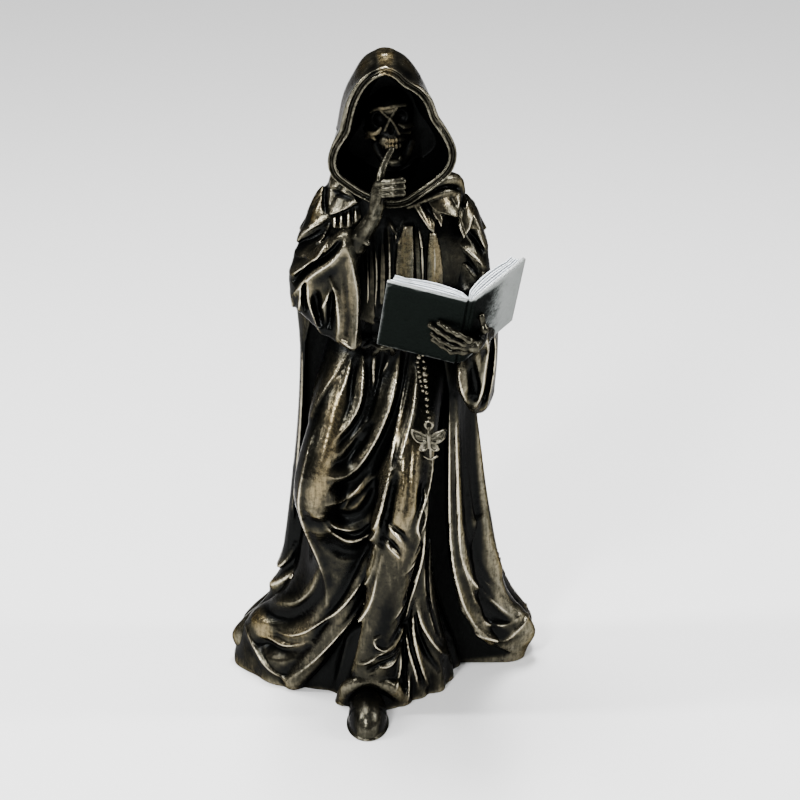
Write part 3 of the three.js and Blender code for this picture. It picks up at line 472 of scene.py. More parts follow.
cloakFolds = [
    (1.2, 1, 1.6, 1, [(21.9, 115), (22, 92), (22.4, 62), (23.8, 48), (26.2, 37), (29, 28), (33.4, 19.5),
        (39, 13.6)]),
    (1.4, 1.4, 2, 1, [(23.9, 114), (24.6, 92), (26, 59), (27, 50), (30, 39), (32.5, 30), (36.5, 23)]),
    (-2, 1.6, 4, 0.3, [(26.4, 116), (26.8, 96), (27.6, 76), (29.5, 54), (33, 40), (38, 30)]),
    (1.3, 4, 2, 0.9, [(27, 56), (29.2, 44), (34, 35), (39.5, 28), (47, 20)]),
    (1.2, 4, 2, 0.9, [(28, 60), (32.4, 42), (39.4, 33), (46, 25)]),
    (-1.2, 2, 3, 0.3, [(30.5, 50), (35.5, 38.5), (42, 30), (48, 24)]),
    (2, 3, 3, 0.8, [(48.5, 38), (49, 33), (50.5, 28.5), (54, 25.5)]),
    (-1.6, 3, 3, 0.3, [(44, 36), (46, 30), (49, 25)]),
    (1.2, 2.5, 2, 0.9, [(34, 25), (37, 20), (44, 17.6), (50, 20)]),
    (1.4, 2, 2, 0.9, [(33, 17.5), (38.7, 13.7), (43.4, 10.8), (49, 14.7), (53.5, 19)]),
    (-1.4, 3, 3, 0.2, [(37, 27), (41, 22), (47, 17)]),
    (1, 4, 4, 0.2, [(31, 110), (33, 84), (36, 60), (40, 44), (47, 36)]),
    (-1.8, 4, 4, 0.1, [(29, 118), (30.4, 90), (33, 66)]),
    (2.2, 3.5, 3.5, 0.9, [(-30, 47), (-36.5, 40), (-42.5, 34.5), (-48, 29.5), (-53, 26), (-57, 25)]),
    (1.4, 3, 3, 0.8, [(-34, 52), (-40, 42), (-47, 35), (-54, 31)]),
    (-1.4, 3, 3, 0.2, [(-33, 46), (-41, 38), (-50, 30)]),
    (1.2, 2, 2, 0.9, [(-30.5, 134), (-31.2, 110), (-33, 86), (-35.5, 64), (-37, 50)]),
    (-1, 2, 2, 0.3, [(-32.6, 130), (-33.4, 106), (-35.4, 84)]),
]
# Folds of the cloak's sides and back, as (turn from the front in degrees, height) points.
cloakBackFolds = [
    (1.6, 5, 3, 0.8, [(176, 185), (172, 140), (168, 90), (160, 40), (152, 8)]),
    (1.6, 3, 5, 0.8, [(196, 185), (202, 130), (206, 80), (216, 36), (224, 8)]),
    (1.3, 4, 3, 0.8, [(150, 184), (146, 120), (140, 70), (130, 30), (124, 10)]),
    (1.3, 3, 4, 0.8, [(222, 184), (228, 120), (236, 74), (244, 34), (250, 12)]),
    (1, 3, 3, 0.8, [(128, 178), (122, 110), (116, 66), (108, 34)]),
    (1, 3, 3, 0.8, [(240, 176), (248, 100), (254, 60), (262, 30)]),
    (-1.2, 4, 4, 0.2, [(186, 182), (186, 120), (186, 70), (188, 12)]),
    (-1, 4, 4, 0.2, [(160, 180), (155, 100), (146, 50), (138, 12)]),
    (-1, 4, 4, 0.2, [(212, 150), (218, 100), (226, 50), (234, 12)]),
    (0.9, 3, 3, 0.9, [(104, 120), (100, 80), (96, 44), (94, 24)]),
    (0.9, 3, 3, 0.9, [(258, 120), (264, 80), (268, 44), (272, 24)]),
    (0.8, 3, 3, 0.9, [(200, 60), (196, 30), (194, 8)]),
]


def makeCloak(clay):
    def folds(angle, z):
        low = np.clip((150 - z) / 140, 0, 1)
        bend = 0.25 * np.sin(z / 23)
        tuck = np.clip((62 - z) / 40, 0, 1) * np.exp(-(((angle - 1) / 0.42) ** 2))
        side = np.clip(np.abs(angle) * 1.6 - 1, 0, 1)
        depth = 0.5 + cloakForm["pleatDepth"] * low * low
        around = np.degrees(angle % (2 * math.pi)) * cloakForm["turnWidth"]
        creased = backRelief.read(backRelief.height, around, z + 0 * angle)
        pleated = depth * pleat(angle * cloakForm["pleatCount"] + bend) * side
        return pleated - cloakForm["tuckDepth"] * tuck + creased

    wide = cloakForm["turnWidth"]
    routes = [(*shape, [(turn * wide, z) for turn, z in route]) for *shape, route in cloakBackFolds]
    backRelief = Relief((0, -5), (360 * wide, 202), routes, 0.6)
    clay.join(loft(cloakRows, folds))
    opening = [(-14, 147), (-26, 147), (-29, 132), (-31, 90), (-34, 65), (-36, 40), (-46, 20), (-56, -9)]
    rightEdge = [(54, -9), (50.5, 1), (44, 6), (37.5, 10.5), (31.4, 18.5), (26.4, 28)]
    rightEdge += [(23.2, 42), (21.7, 62), (21.2, 99), (21, 115), (18, 134)]
    clay.carve(doorway(opening + rightEdge, cloakForm["openingBack"]), 1.5)
    clay.carve(doorway([(2, 100), (2, -9)] + rightEdge, 13), 1.5)
    clay.emboss(Relief((-62, -5), (62, 202), cloakFolds))
    clay.carve(throat(), 1.5)


# The robe below the belt: the leading leg, the trailing thigh, the cloth drawn across them and the hem.
robeForm = {"pleatCount": 6, "pleatDepth": 0.8, "step": 0.48}
robeRows = [
    (146, 2, 1, 19, 15),
    (140, 2, 2, 20, 17),
    (120, -1, 3, 23, 17),
    (100, -4, 4, 24, 16),
    (80, -7, 6, 23, 16),
    (60, -9, 8, 23, 16),
    (40, -11, 9, 25, 17),
    (20, -12, 11, 31, 20),
    (8, -13, 13, 36, 23),
    (2, -13, 14, 38, 24.5),
    (-4, -13, 14, 38, 24.5),
]
robeFolds = [
    # The trailing thigh and the robe's outer edge.
    (1.7, 5, 3, 0.8, [(-14, 134), (-18, 127), (-22, 121), (-25, 116), (-28, 109)]),
    (1.2, 2, 2.5, 1, [(-23, 113), (-27, 104), (-30, 92.6), (-31.6, 83), (-31.6, 77), (-30.2, 69),
        (-28, 61), (-25, 53), (-23, 46), (-22, 36)]),
    (1.8, 7, 6, 0.2, [(-16.4, 126), (-19, 116), (-21, 107), (-23.4, 97), (-25.6, 88), (-26.5, 82)]),
    (-1.6, 5, 4, 0.1, [(-30, 75), (-26, 72.5), (-21.5, 73.5), (-19.5, 78)]),
    # Folds that fall from the belt.
    (1.2, 2.5, 2.5, 1, [(-13, 131), (-14.5, 125), (-16.5, 120), (-17, 116)]),
    (1, 2.5, 2, 1, [(-11, 123), (-12, 117), (-14, 112.5), (-17.5, 109)]),
    (1.8, 4, 2.5, 1, [(-8.5, 133), (-8.8, 124), (-10.2, 116.5), (-13.7, 110.4), (-19.5, 104.4)]),
    (-1.4, 2.5, 2.5, 0.2, [(-6.6, 130), (-6.8, 121), (-8.6, 113), (-12.5, 107), (-17.5, 102.5)]),
    (-1.2, 2, 2, 0.2, [(-11, 131), (-12.6, 125.5), (-13.5, 118)]),
    (1.2, 2, 2, 1, [(-4.3, 136), (-5.2, 129), (-4.9, 123)]),
    (1.2, 2, 2, 1, [(1.5, 135), (-0.6, 129.4), (-3, 125.5)]),
    (-1.4, 2, 2, 0.2, [(-1.2, 136), (-2.6, 129), (-5, 119), (-7.5, 111)]),
    (3, 6.5, 3.2, 0.9, [(4.4, 138), (3.1, 126), (0.7, 117), (-2.8, 108), (-7, 99.8), (-11.3, 93.8),
        (-15.5, 91.2), (-20, 91.8)]),
    (-2.6, 3, 4, 0.2, [(6.5, 134), (5, 121), (2, 111), (-2.5, 101), (-7.5, 92.5), (-12, 87.5), (-18, 87)]),
    (-1.3, 3.5, 3.5, 0.1, [(-6.5, 109), (-10, 102.5), (-15, 97), (-20, 95.5)]),
    (1, 2.5, 1.5, 1, [(-7.2, 108), (-9.5, 103.4)]),
    (1, 2.5, 1.5, 1, [(-9, 101), (-13, 95.5)]),
    # The flat ribbon of cloth, which goes on to the loop below the knee.
    (1.5, 2, 1.8, 1, [(8, 134), (6, 123.5), (4.2, 114.6), (2.5, 107), (1.2, 99), (0, 93)]),
    (1.3, 1.5, 2.2, 1, [(10.4, 128), (9, 116), (7, 107.8), (4.2, 99.5), (1.4, 93)]),
    (1.9, 4.5, 2.4, 1, [(1.2, 96), (0, 92), (-1.6, 85.8), (-3.2, 78.9), (-5.7, 72.7), (-9.6, 68.6)]),
    (-2, 3, 3, 0.2, [(3.5, 93), (1.4, 84), (-0.6, 76), (-2, 69)]),
    (1.5, 3, 2, 1, [(-9.6, 69.5), (-13, 68.7), (-18, 69.8), (-22.8, 74.6)]),
    (1.7, 2.4, 3, 0.9, [(-2.8, 79), (-5.3, 70.4), (-9.3, 65.4), (-13.9, 64.3), (-19.3, 67.6), (-24, 75)]),
    (-2.2, 4, 3, 0.1, [(-4.2, 86), (-7, 79), (-10.4, 74.6), (-15, 73.2), (-19.5, 75.5)]),
    (-1, 1.5, 1.5, 0.2, [(-6.4, 71), (-10, 67), (-14, 66.4), (-19, 69)]),
    (1.2, 3, 2.2, 1, [(-6.6, 91), (-11.4, 84.6), (-15.6, 81.3), (-21.8, 81)]),
    (0.9, 2, 2, 1, [(-9.6, 84.6), (-13.5, 81.6), (-15.6, 77)]),
    (-1.2, 2, 2, 0.2, [(-4, 89), (-8.2, 83.6), (-12.2, 79)]),
    (-1.5, 4, 4, 0.1, [(-5.4, 64), (-10, 59.5), (-16, 59), (-22, 63)]),
    (1, 3, 2, 0.9, [(-2.4, 74), (-4.8, 66), (-7.4, 56), (-12, 47)]),
    # The leading leg.
    (1.5, 3.5, 3, 0.1, [(6, 102), (5, 91), (3.4, 83), (3.8, 76)]),
    (1.4, 3, 3, 0.1, [(9.8, 102), (9, 92), (9, 84), (6.6, 76)]),
    (-1.4, 2, 2, 0.1, [(11.8, 90), (11.2, 86), (11, 82)]),
    (1.6, 2.4, 1.6, 1, [(16.2, 102), (15.6, 92), (14.1, 85.3), (11.4, 78.8), (10.5, 73.8), (11.4, 69),
        (8.7, 62)]),
    (-1.2, 2, 2, 0.2, [(-2, 78.5), (1.6, 76), (5, 72.5), (7.4, 68)]),
    (1, 1.6, 1.6, 1, [(-0.6, 76), (2.8, 73), (5.1, 69.8)]),
    (1, 1.6, 1.6, 1, [(-1.4, 69.6), (2.1, 66.3), (4.6, 63)]),
    (-1, 1.6, 1.6, 0.2, [(-1.6, 72.6), (1.6, 69.4), (4.2, 66)]),
    (1.3, 2.5, 1.5, 1, [(14.8, 78), (13.9, 70.5), (11.4, 64.4), (7.4, 59)]),
    (0.9, 1.5, 1.5, 1, [(12.6, 66.5), (9.2, 59.5), (5.6, 56.6)]),
    (1.4, 3, 1.6, 1, [(13.4, 74), (12.9, 58), (10.6, 48), (7.9, 39.3), (6.1, 32.3), (2, 26)]),
    (-1.1, 2, 1.5, 0.2, [(11.4, 62), (10, 54), (7.4, 46.5), (4.6, 38)]),
    (0.9, 2, 1.4, 1, [(12.4, 55.6), (9.2, 47), (5.2, 42.8), (1.2, 37.6)]),
    (-1, 2, 2, 0.2, [(6.4, 39.5), (4, 33.5), (1.4, 29.6)]),
    (1.2, 1.6, 1.6, 1, [(-2.2, 33), (-5, 30.8), (-3.8, 28), (-1, 26.6), (2.2, 28)]),
    (-1.1, 1.6, 1.6, 0.2, [(4, 25.5), (0, 23.4), (-4.6, 24)]),
    (1.1, 2, 1.6, 1, [(1.4, 26.4), (-2.4, 25.4), (-7.4, 21.6), (-11, 20)]),
    (-1, 1.6, 1.6, 0.2, [(2.6, 21.6), (-2, 21.2), (-7, 18.2)]),
    (1, 1.6, 1.6, 1, [(4.4, 21.6), (1.4, 19.4), (-3, 19.6)]),
    # The edges of the panel and the sweep of the hem to the left.
    (1.1, 2, 1.5, 1, [(-2.8, 70), (-4.4, 62), (-6.7, 54.3), (-11.9, 44.4), (-18.3, 35.5), (-26.5, 27.5),
        (-35.5, 21.5), (-44, 19.5)]),
    (1.2, 1.5, 1.5, 1, [(-2.2, 64), (-3.8, 56.5), (-6.5, 44.6), (-12.2, 33.6), (-19.6, 23.6),
        (-28, 13.5), (-37, 4.5)]),
    (-1.8, 5, 4, 0.1, [(-22, 46), (-27, 36), (-33, 29), (-41, 25.5), (-50, 25)]),
    (1, 3, 3, 0.8, [(-24.5, 52), (-27.5, 42), (-33, 35), (-41, 31)]),
    (1.1, 2, 2, 1, [(-37, 3.6), (-44.6, 6.6), (-50, 11), (-53.5, 17)]),
    (-1.3, 4, 4, 0.1, [(-31, 20), (-38, 14.5), (-46, 13.5)]),
    (1, 2, 2, 0.8, [(-28, 21), (-37, 16.8), (-47, 16.5)]),
    # The fan of folds to the right of the leading leg.
    (1.3, 2, 2.4, 1, [(9.6, 42), (11.8, 31.5), (15.7, 22.5), (22.2, 11.6)]),
    (1.2, 2, 2, 1, [(9.3, 38), (9.3, 26.5), (12.1, 13.4), (15, 4.5)]),
    (1.2, 1.8, 1.8, 1, [(6.3, 29), (7.5, 21.4), (10, 11.9), (11, 5)]),
    (1.1, 1.8, 1.8, 1, [(5.2, 26), (4.6, 15.4), (2.7, 8)]),
    (1, 1.6, 1.6, 1, [(8, 23), (10.3, 15.9), (13, 9)]),
    (1, 1.4, 1.4, 1, [(7.3, 12), (7.7, 6), (7.1, 1.6)]),
    (-1.3, 1.5, 1.5, 0.2, [(9.9, 34), (10.7, 27), (13.8, 18), (18.6, 9)]),
    (-1.2, 1.5, 1.5, 0.2, [(7.6, 31), (8.4, 22), (11, 12.6), (13, 5)]),
    (-1.2, 1.5, 1.5, 0.2, [(5.8, 24), (6, 15), (6.4, 7)]),
    (0.9, 1.4, 1.4, 1, [(13.6, 66), (13.4, 52), (14, 40), (17.5, 24), (22, 14)]),
    (0.9, 1.4, 1.4, 1, [(15.2, 62), (14.9, 46), (16, 34.9), (19.8, 21), (24, 12.5)]),
    (-1.4, 1.5, 1.5, 0.2, [(14.4, 64), (14.2, 50), (15, 37), (18.6, 23)]),
]


def makeRobe(clay):
    def folds(angle, z):
        low = np.clip((120 - z) / 90, 0, 1)
        return robeForm["pleatDepth"] * low * pleat(angle * robeForm["pleatCount"] + z / 30)

    clay.join(loft(robeRows, folds))
    clay.joinTubes(
        (6, [(-10, -3, 126, 12), (-17, -11, 106, 11), (-24.5, -18, 84, 9), (-22, -9, 62, 7),
            (-19, -2, 40, 7)]),
        (4, [(9, -5, 124, 11), (7, -14, 104, 10.5), (4.5, -24.5, 82, 8.5), (1, -25, 55, 8),
            (-6, -23, 16, 7.5)]),
        (4, [(-5, -14, 20, 11), (-5, -12, 2, 14.5), (-5, -12, -4, 14.5)]),
        (5, [(-3, -7, 116, 12), (-8, -11, 92, 10.5), (-12, -10, 68, 9), (-17, -6, 46, 9),
            (-26, -1, 26, 10)]),
        (5, [(-18, -2, 40, 9), (-25, -1, 22, 9), (-36, 3, 4, 10), (-38, 4, -4, 10)]),
        (4, [(-20, 0, 48, 8), (-32, 4, 28, 9), (-44, 12, 15, 9.5), (-49, 17, 3, 9)]),
        (4, [(-26, -2, 22, 8), (-37, 1.5, 8, 8), (-46, 9, 4, 7.5), (-50, 14, 0, 7)]),
    )
    # The dark hollow between the panel's edge and the leading leg, and the edge itself.
    hollow = [(-1.6, -26, 62, 1.4), (-6, -24, 44, 3.2), (-12.5, -21, 26, 5)]
    clay.carve(tube([*hollow, (-20, -19, 8, 6), (-21.5, -19, -6, 6.5)]), 1.5)
    clay.joinTubes(
        (1.5, [(-1, -19, 84, 1.5), (-6, -18, 58, 2.4), (-14.5, -14.5, 36, 3.6), (-25, -10.5, 17, 4.2),
            (-35, -7, 3, 4)]),
        (5, [(8, -9, 70, 6), (9, -6, 40, 8), (11, -3, 14, 10), (12, 0, -4, 11)]),
    )
    # The fan of folds to the right of the leg, each down to its own foot.
    feet = [(4, -19), (11, -14), (17.4, -9), (21, 1), (24, 12)]
    for i, (x, y) in enumerate(feet):
        bend = 0.4 + 0.35 * i / 4
        knee = (9 + (x - 9) * bend * 0.5, -12 + (y + 12) * bend, 22 + 4 * i, 2.2)
        clay.join(tube([(9 + i, -12 + 2 * i, 62 + 5 * i, 1.2), knee, (x, y, 2.5, 3), (x, y, -4, 3)]), 4)
    # The hem's turned band over the shoe.
    arch = [(-16.5, -19, 0), (-14, -25, 9), (-6.5, -28, 13.2), (1.5, -25, 8.5), (5.5, -19, 0)]
    clay.join(tube([(x, y, z, 3) for x, y, z in arch]), 1)
    clay.emboss(Relief((-62, -5), (38, 150), robeFolds))
    clay.carve(tube([(x, y - 2.5, z - 3.5, 0.7) for x, y, z in arch]), 0.6)


# The shoe under the hem: a round toe cap and a thin welt.
shoeForm = {"width": 15.6, "length": 29.0, "height": 12.0, "weltHeight": 2.2, "step": 0.33}


def makeShoe(clay):
    half = shoeForm["width"] / 2
    toe = (half - 0.8, shoeForm["length"] / 2 - 0.6, shoeForm["height"] - 2.5)
    welt = (half, shoeForm["length"] / 2 + 0.2, shoeForm["weltHeight"])
    clay.join(ball((-7.3, -35.5, 2.5), toe), 1)
    clay.join(ball((-7.3, -35.5, 0), welt), 0.3)
    seam = [(-14.5, -38, 4), (-11, -41, 8.8), (-7.3, -42, 10), (-3.6, -41, 8.8), (0, -38, 4)]
    clay.carve(tube([(*spot, 0.35) for spot in seam]), 0.4)


# The chest, the shoulders and both sleeves.
chestForm = {"raisedSleevePleats": 6, "bookSleevePleats": 8, "step": 0.45}
chestFolds = [
    # The raised arm's sleeve: its long bronze panel, the folds beside it and the gap above it.
    (1.5, 3, 1.6, 1, [(-14.7, 177.4), (-12.9, 172.6), (-11.5, 166), (-10.4, 160), (-10.3, 152.4),
        (-11.6, 138.6)]),
    (1.3, 1.8, 2.6, 1, [(-19.9, 164), (-18.4, 159.7), (-17.5, 155.2), (-17, 147.7), (-17.7, 141.9)]),
    (1, 1.5, 1.5, 1, [(-17.1, 142.6), (-14.4, 141.2), (-11.7, 139)]),
    (-0.8, 1.5, 1.5, 0.2, [(-15, 168), (-14.2, 160), (-13.8, 152), (-14.2, 145)]),
    (1.8, 1.2, 3.6, 1, [(-14.9, 176.6), (-17.5, 172.7), (-20.8, 169.2), (-24.5, 166), (-27.9, 162.4),
        (-30.8, 158.3), (-33.9, 153.6)]),
    (-2.8, 1.7, 1.5, 0.1, [(-16, 177.8), (-18.9, 173.6), (-22.2, 170.2), (-25.6, 167.4), (-28.9, 163.6),
        (-32, 159.2)]),
    (1.5, 2.6, 1.2, 1, [(-20.3, 178), (-22.7, 173.4), (-25.3, 168.9), (-27.5, 166.6), (-30.8, 163.9),
        (-34, 160.8)]),
    (0.9, 1.8, 1.4, 1, [(-25.8, 169.9), (-28.4, 168.9), (-31.2, 167.2)]),
    (-1.5, 1.6, 1.6, 0.2, [(-21.8, 176.4), (-25.6, 173.8), (-29.4, 171.2), (-32, 168.5)]),
    (1.3, 1.6, 1.6, 1, [(-20.3, 181), (-23.2, 179.2), (-26.9, 176.9), (-30.3, 173.9), (-32, 170.9)]),
    (1.3, 1.6, 2.6, 1, [(-27.8, 163), (-27.6, 154.4), (-25.5, 148), (-22.5, 141.1)]),
    (1, 1.4, 1.4, 1, [(-19.8, 160.2), (-22, 154.5), (-23.7, 151.1)]),
    (-1.9, 1.8, 1.8, 0.1, [(-18.9, 159), (-19.7, 152), (-20.2, 147)]),
    (-1.8, 2.4, 2.4, 0.1, [(-24.8, 157), (-24.2, 151), (-23.4, 147.6)]),
    (-1.7, 1.2, 1.2, 0.1, [(-29, 161), (-29.1, 155), (-28.8, 150)]),
    (1, 1.4, 1.2, 1, [(-30.2, 160), (-30.6, 154), (-31.4, 147)]),
    (1.2, 1.4, 1.4, 1, [(-34, 154), (-33.3, 147), (-32.2, 141.8)]),
    # The robe on the chest.
    (1.1, 1.6, 1.6, 1, [(-4.8, 178), (-4.2, 168.3), (-4, 160), (-4.4, 151), (-3.4, 146)]),
    (1.1, 1.6, 1.6, 1, [(-7.4, 172), (-6.9, 160), (-7.2, 150.1), (-9.3, 139.1)]),
    (-1.4, 1.5, 1.5, 0.2, [(-5.8, 174), (-5.5, 162), (-5.9, 150), (-6.8, 141)]),
    (1, 1.5, 1.5, 1, [(0, 180), (0.5, 173), (0.6, 160), (0.2, 150)]),
    (-1.5, 2, 2, 0.2, [(-1.9, 178), (-1.7, 166), (-2, 152)]),
    (1, 1.4, 1.4, 1, [(0.1, 182), (1.6, 179.4), (2.9, 177.4)]),
    (1, 1.4, 1.4, 1, [(5.7, 182), (4.2, 179.4), (2.9, 177.4), (2.6, 172)]),
    (-1.6, 1.2, 1.2, 0.2, [(9.6, 180), (10.2, 170), (10.6, 158)]),
    (1.2, 0.9, 0.9, 1, [(10.1, 180.4), (11.5, 173.4), (12.1, 164.6), (12.2, 156)]),
    (0.8, 2, 0.9, 1, [(16.9, 176.6), (18.8, 170.3), (19.6, 162.7), (19.9, 156)]),
    (0.7, 1.4, 1.4, 1, [(15.6, 175), (16.2, 168), (16, 160)]),
    (0.9, 0.9, 0.9, 1, [(19.2, 177), (20.2, 173), (20.9, 169)]),
    (-2.2, 2.2, 2.2, 0.1, [(21.6, 177), (22.3, 170), (23, 160)]),
    (1.1, 1.6, 1.6, 1, [(1.6, 149), (-2.4, 146.6), (-5, 146)]),
    (1.4, 1.4, 2.4, 1, [(24.7, 171.8), (27.9, 169.1), (30.4, 166.8), (33.6, 163)]),
    (-1.6, 1.8, 1.8, 0.2, [(24, 168.6), (27.5, 165.6), (31, 161)]),
    (1.1, 1.6, 1.6, 1, [(28.6, 178.5), (31.4, 175), (33, 171), (34.6, 167.4)]),
    (-1.4, 1.6, 1.6, 0.2, [(27, 176.5), (30, 172.6), (33, 168)]),
    (1.2, 2.5, 2.5, 0.9, [(26, 186), (29.8, 180.8), (33, 173.6), (36, 167)]),
    # The book arm's sleeve.
    (1.4, 2, 2.4, 1, [(32.4, 149.5), (33.9, 145), (34.5, 140.9), (33.6, 132.5), (32.6, 124), (29.6, 116)]),
    (1.1, 2.5, 2, 1, [(36.4, 146), (37.4, 137), (36.8, 126), (34.4, 115)]),
    (-1.3, 1.6, 1.6, 0.2, [(34.6, 147), (36, 138), (35.2, 127), (33, 117)]),
    (1.2, 1.8, 1.8, 1, [(23.6, 136), (24.4, 131), (25.8, 124.4), (27.8, 118.6)]),
    (-3.2, 3.2, 3.2, 0.1, [(27.8, 141), (28.9, 131), (29.8, 122.5)]),
]
# Raised panels of the robe on the chest.
chestPanels = [
    (1.6, 0.8, [(5.6, 180.4), (3.2, 174.2), (2.5, 167.7), (2.3, 154), (9, 154), (9.1, 167), (8.7, 180.4)]),
    (1.9, 0.8, [(14.3, 177.6), (13.5, 170.6), (13.3, 164), (13.3, 154), (19.9, 154), (19.4, 162.7),
        (18.6, 170.3), (16.7, 177)]),
]


def makeChest(clay):
    rows = [(190, 1, 0, 14, 11), (182, 2, 0, 19, 14), (160, 2, 0, 21, 16)]
    clay.join(loft([*rows, (140, 2, 2, 20, 17), (134, 2, 2, 20, 17)]))
    # The shoulders, then the raised arm and its sleeve.
    clay.joinTubes(
        (6, [(-18, 3, 179, 8), (1, -1, 186, 12), (21, 3, 179, 8)]),
        (5, [(-20, 2, 177, 8.5), (-24.5, -2, 164, 8.8), (-24, -6, 154, 9)]),
        (4, [(-25, -7, 158, 8.5), (-19, -16, 168, 7), (-14, -22, 176.5, 4.6)]),
    )
    upper = [(-13.5, -22, 174), (-18, -20, 165), (-25, -14, 160), (-30, -4, 158)]
    lower = [(-12.4, -24, 141.4), (-17, -21.5, 143.6), (-22.5, -18, 146.4), (-29, -8, 151)]
    curtain(clay, upper, lower, chestForm["raisedSleevePleats"], 3.2, 3)
    clay.carve(tube([(-12.4, -14, 168, 2.5), (-11, -16, 150, 4.6), (-12, -17, 137, 6)]), 2)
    # The book arm and its sleeve.
    clay.joinTubes(
        (5, [(23.5, 2, 177, 8.5), (27, 0, 163, 8.6), (28.5, -4, 151, 8.2)]),
        (3, [(31, -5, 149, 8), (31, -18, 147, 6.5), (30.5, -31, 146, 5)]),
    )
    upper = [(30.5, -30, 146), (31.5, -20, 146), (32, -10, 147), (31.5, -2, 148)]
    lower = [(27, -28, 127), (31, -20, 117), (32.3, -12, 115), (32.5, -3, 120)]
    curtain(clay, upper, lower, chestForm["bookSleevePleats"], 3.5, 3.1)
    clay.join(tube([(31.5, -10, 146, 7), (32, -12, 132, 6), (32.2, -12, 120, 5)]), 4)
    clay.emboss(Relief((-42, 100), (44, 202), chestFolds, 0.3, chestPanels))
    clay.carve(throat(), 1.5)


# The belt with its knot.
beltForm = {"radius": 1.15, "twists": 4.5, "stations": 46, "step": 0.35}


def makeBelt(clay):
    r, count = beltForm["radius"], beltForm["stations"]
    for i in range(2):
        turn = np.linspace(0, 2 * math.pi * beltForm["twists"], count) + i * math.pi
        x = np.linspace(-15, 16, count)
        y = -18.6 + 0.024 * (x - 1) ** 2 + 0.7 * np.sin(turn)
        z = 138.2 + 1.1 * np.cos(turn)
        clay.join(tube(np.column_stack([x, y, z, np.full(count, r)]), 0.7), 0.2)
    knot = [
        [(-4.4, -19, 141.4), (-1.6, -20.8, 140.4), (1.2, -20.4, 137.6), (1.6, -18.6, 135.2)],
        [(1.4, -18.6, 141.2), (-1.2, -20.4, 139.4), (-3.8, -20, 136.6), (-4.8, -18, 134.8)],
        [(-5, -18.6, 138.6), (-1.6, -21.2, 138), (2, -19.4, 138.8)],
    ]
    for route in knot:
        clay.join(tube([(*spot, r) for spot in route], 0.7), 0.2)


# The mantle over the shoulders: a flap on the left, two points on the right, and a pleated fringe below.
mantleForm = {"step": 0.42, "pleatCount": 7}
mantleFolds = [
    # The left shoulder: the flap's folds, its pleated fringe and the mantle's lower edge.
    (0.9, 1.2, 1.6, 1, [(-11, 188.8), (-14, 190.6), (-18, 192.4)]),
    (-1.2, 1.2, 1.2, 0.2, [(-12.6, 189.4), (-16.5, 189.8), (-20, 190.6)]),
    (1.2, 3, 0.8, 1, [(-9.9, 188.4), (-13.4, 186.4), (-17, 184.5), (-20.3, 182.9)]),
    (-1.5, 1.4, 0.9, 0.2, [(-20.9, 194), (-21.6, 190), (-21.9, 186), (-21.6, 182.6)]),
    (1.3, 4, 3.5, 0.1, [(-22.9, 190.5), (-25, 184.5), (-26.8, 179)]),
    (1, 1, 1, 1, [(-18.4, 182.4), (-18.5, 178.7)]),
    (1, 1, 1, 1, [(-16.1, 183.2), (-16.2, 178.9)]),
    (1, 1, 1, 1, [(-13.6, 184.4), (-13.5, 179.2)]),
    (1, 1, 1, 1, [(-11.1, 185.6), (-11, 181)]),
    (-1.4, 0.8, 0.8, 0.2, [(-17.3, 182.8), (-17.3, 178.6)]),
    (-1.4, 0.8, 0.8, 0.2, [(-14.9, 183.8), (-14.8, 178.8)]),
    (-1.4, 0.8, 0.8, 0.2, [(-12.3, 185), (-12.2, 180)]),
    (1.1, 2.4, 1, 1, [(-20.3, 181.6), (-23.2, 179.8), (-26.9, 177.5), (-30.3, 174.6), (-33, 171)]),
    # The right shoulder: three rolls of cloth below the hood and four points.
    (1.2, 1.4, 1.2, 1, [(16.5, 197.6), (11.8, 194.9), (8.3, 192.8)]),
    (1.2, 1.2, 1.2, 1, [(20.6, 196.8), (17.6, 194.6), (13.5, 192)]),
    (1.1, 1.2, 1.2, 1, [(24.8, 194.9), (20.2, 192.2), (15, 190.6)]),
    (-1.2, 1, 1, 0.2, [(18.6, 197), (14.8, 194.6), (10.5, 192.3)]),
    (-1.2, 1, 1, 0.2, [(22.8, 196), (19.2, 193.5), (14.2, 191.4)]),
    (-1.3, 1, 1, 0.2, [(26.4, 193.4), (20, 190.9), (13.6, 189.6)]),
    (0.9, 2.4, 0.7, 1, [(25.5, 191.5), (24.9, 186.6), (24.1, 182)]),
    (0.8, 0.8, 1.6, 1, [(24, 188.6), (19, 186.8), (14, 188.2)]),
    (0.9, 0.8, 2, 1, [(7.7, 189.2), (11, 184), (14.1, 179.3), (15.8, 177.7)]),
    (-1.1, 0.8, 0.8, 0.2, [(10.4, 189), (13, 185), (15, 181)]),
    (0.9, 0.8, 1.2, 1, [(13.6, 188), (16.2, 183.1), (18.4, 179.4)]),
    (-1.4, 0.8, 1.4, 0.2, [(26.8, 191), (26.4, 185), (25.4, 181)]),
    (1, 0.9, 1.4, 1, [(24.4, 179.8), (25.2, 177), (26.2, 174.6)]),
    (0.9, 1.4, 0.9, 1, [(29.6, 183), (28.6, 178.6), (26.4, 174.8)]),
]
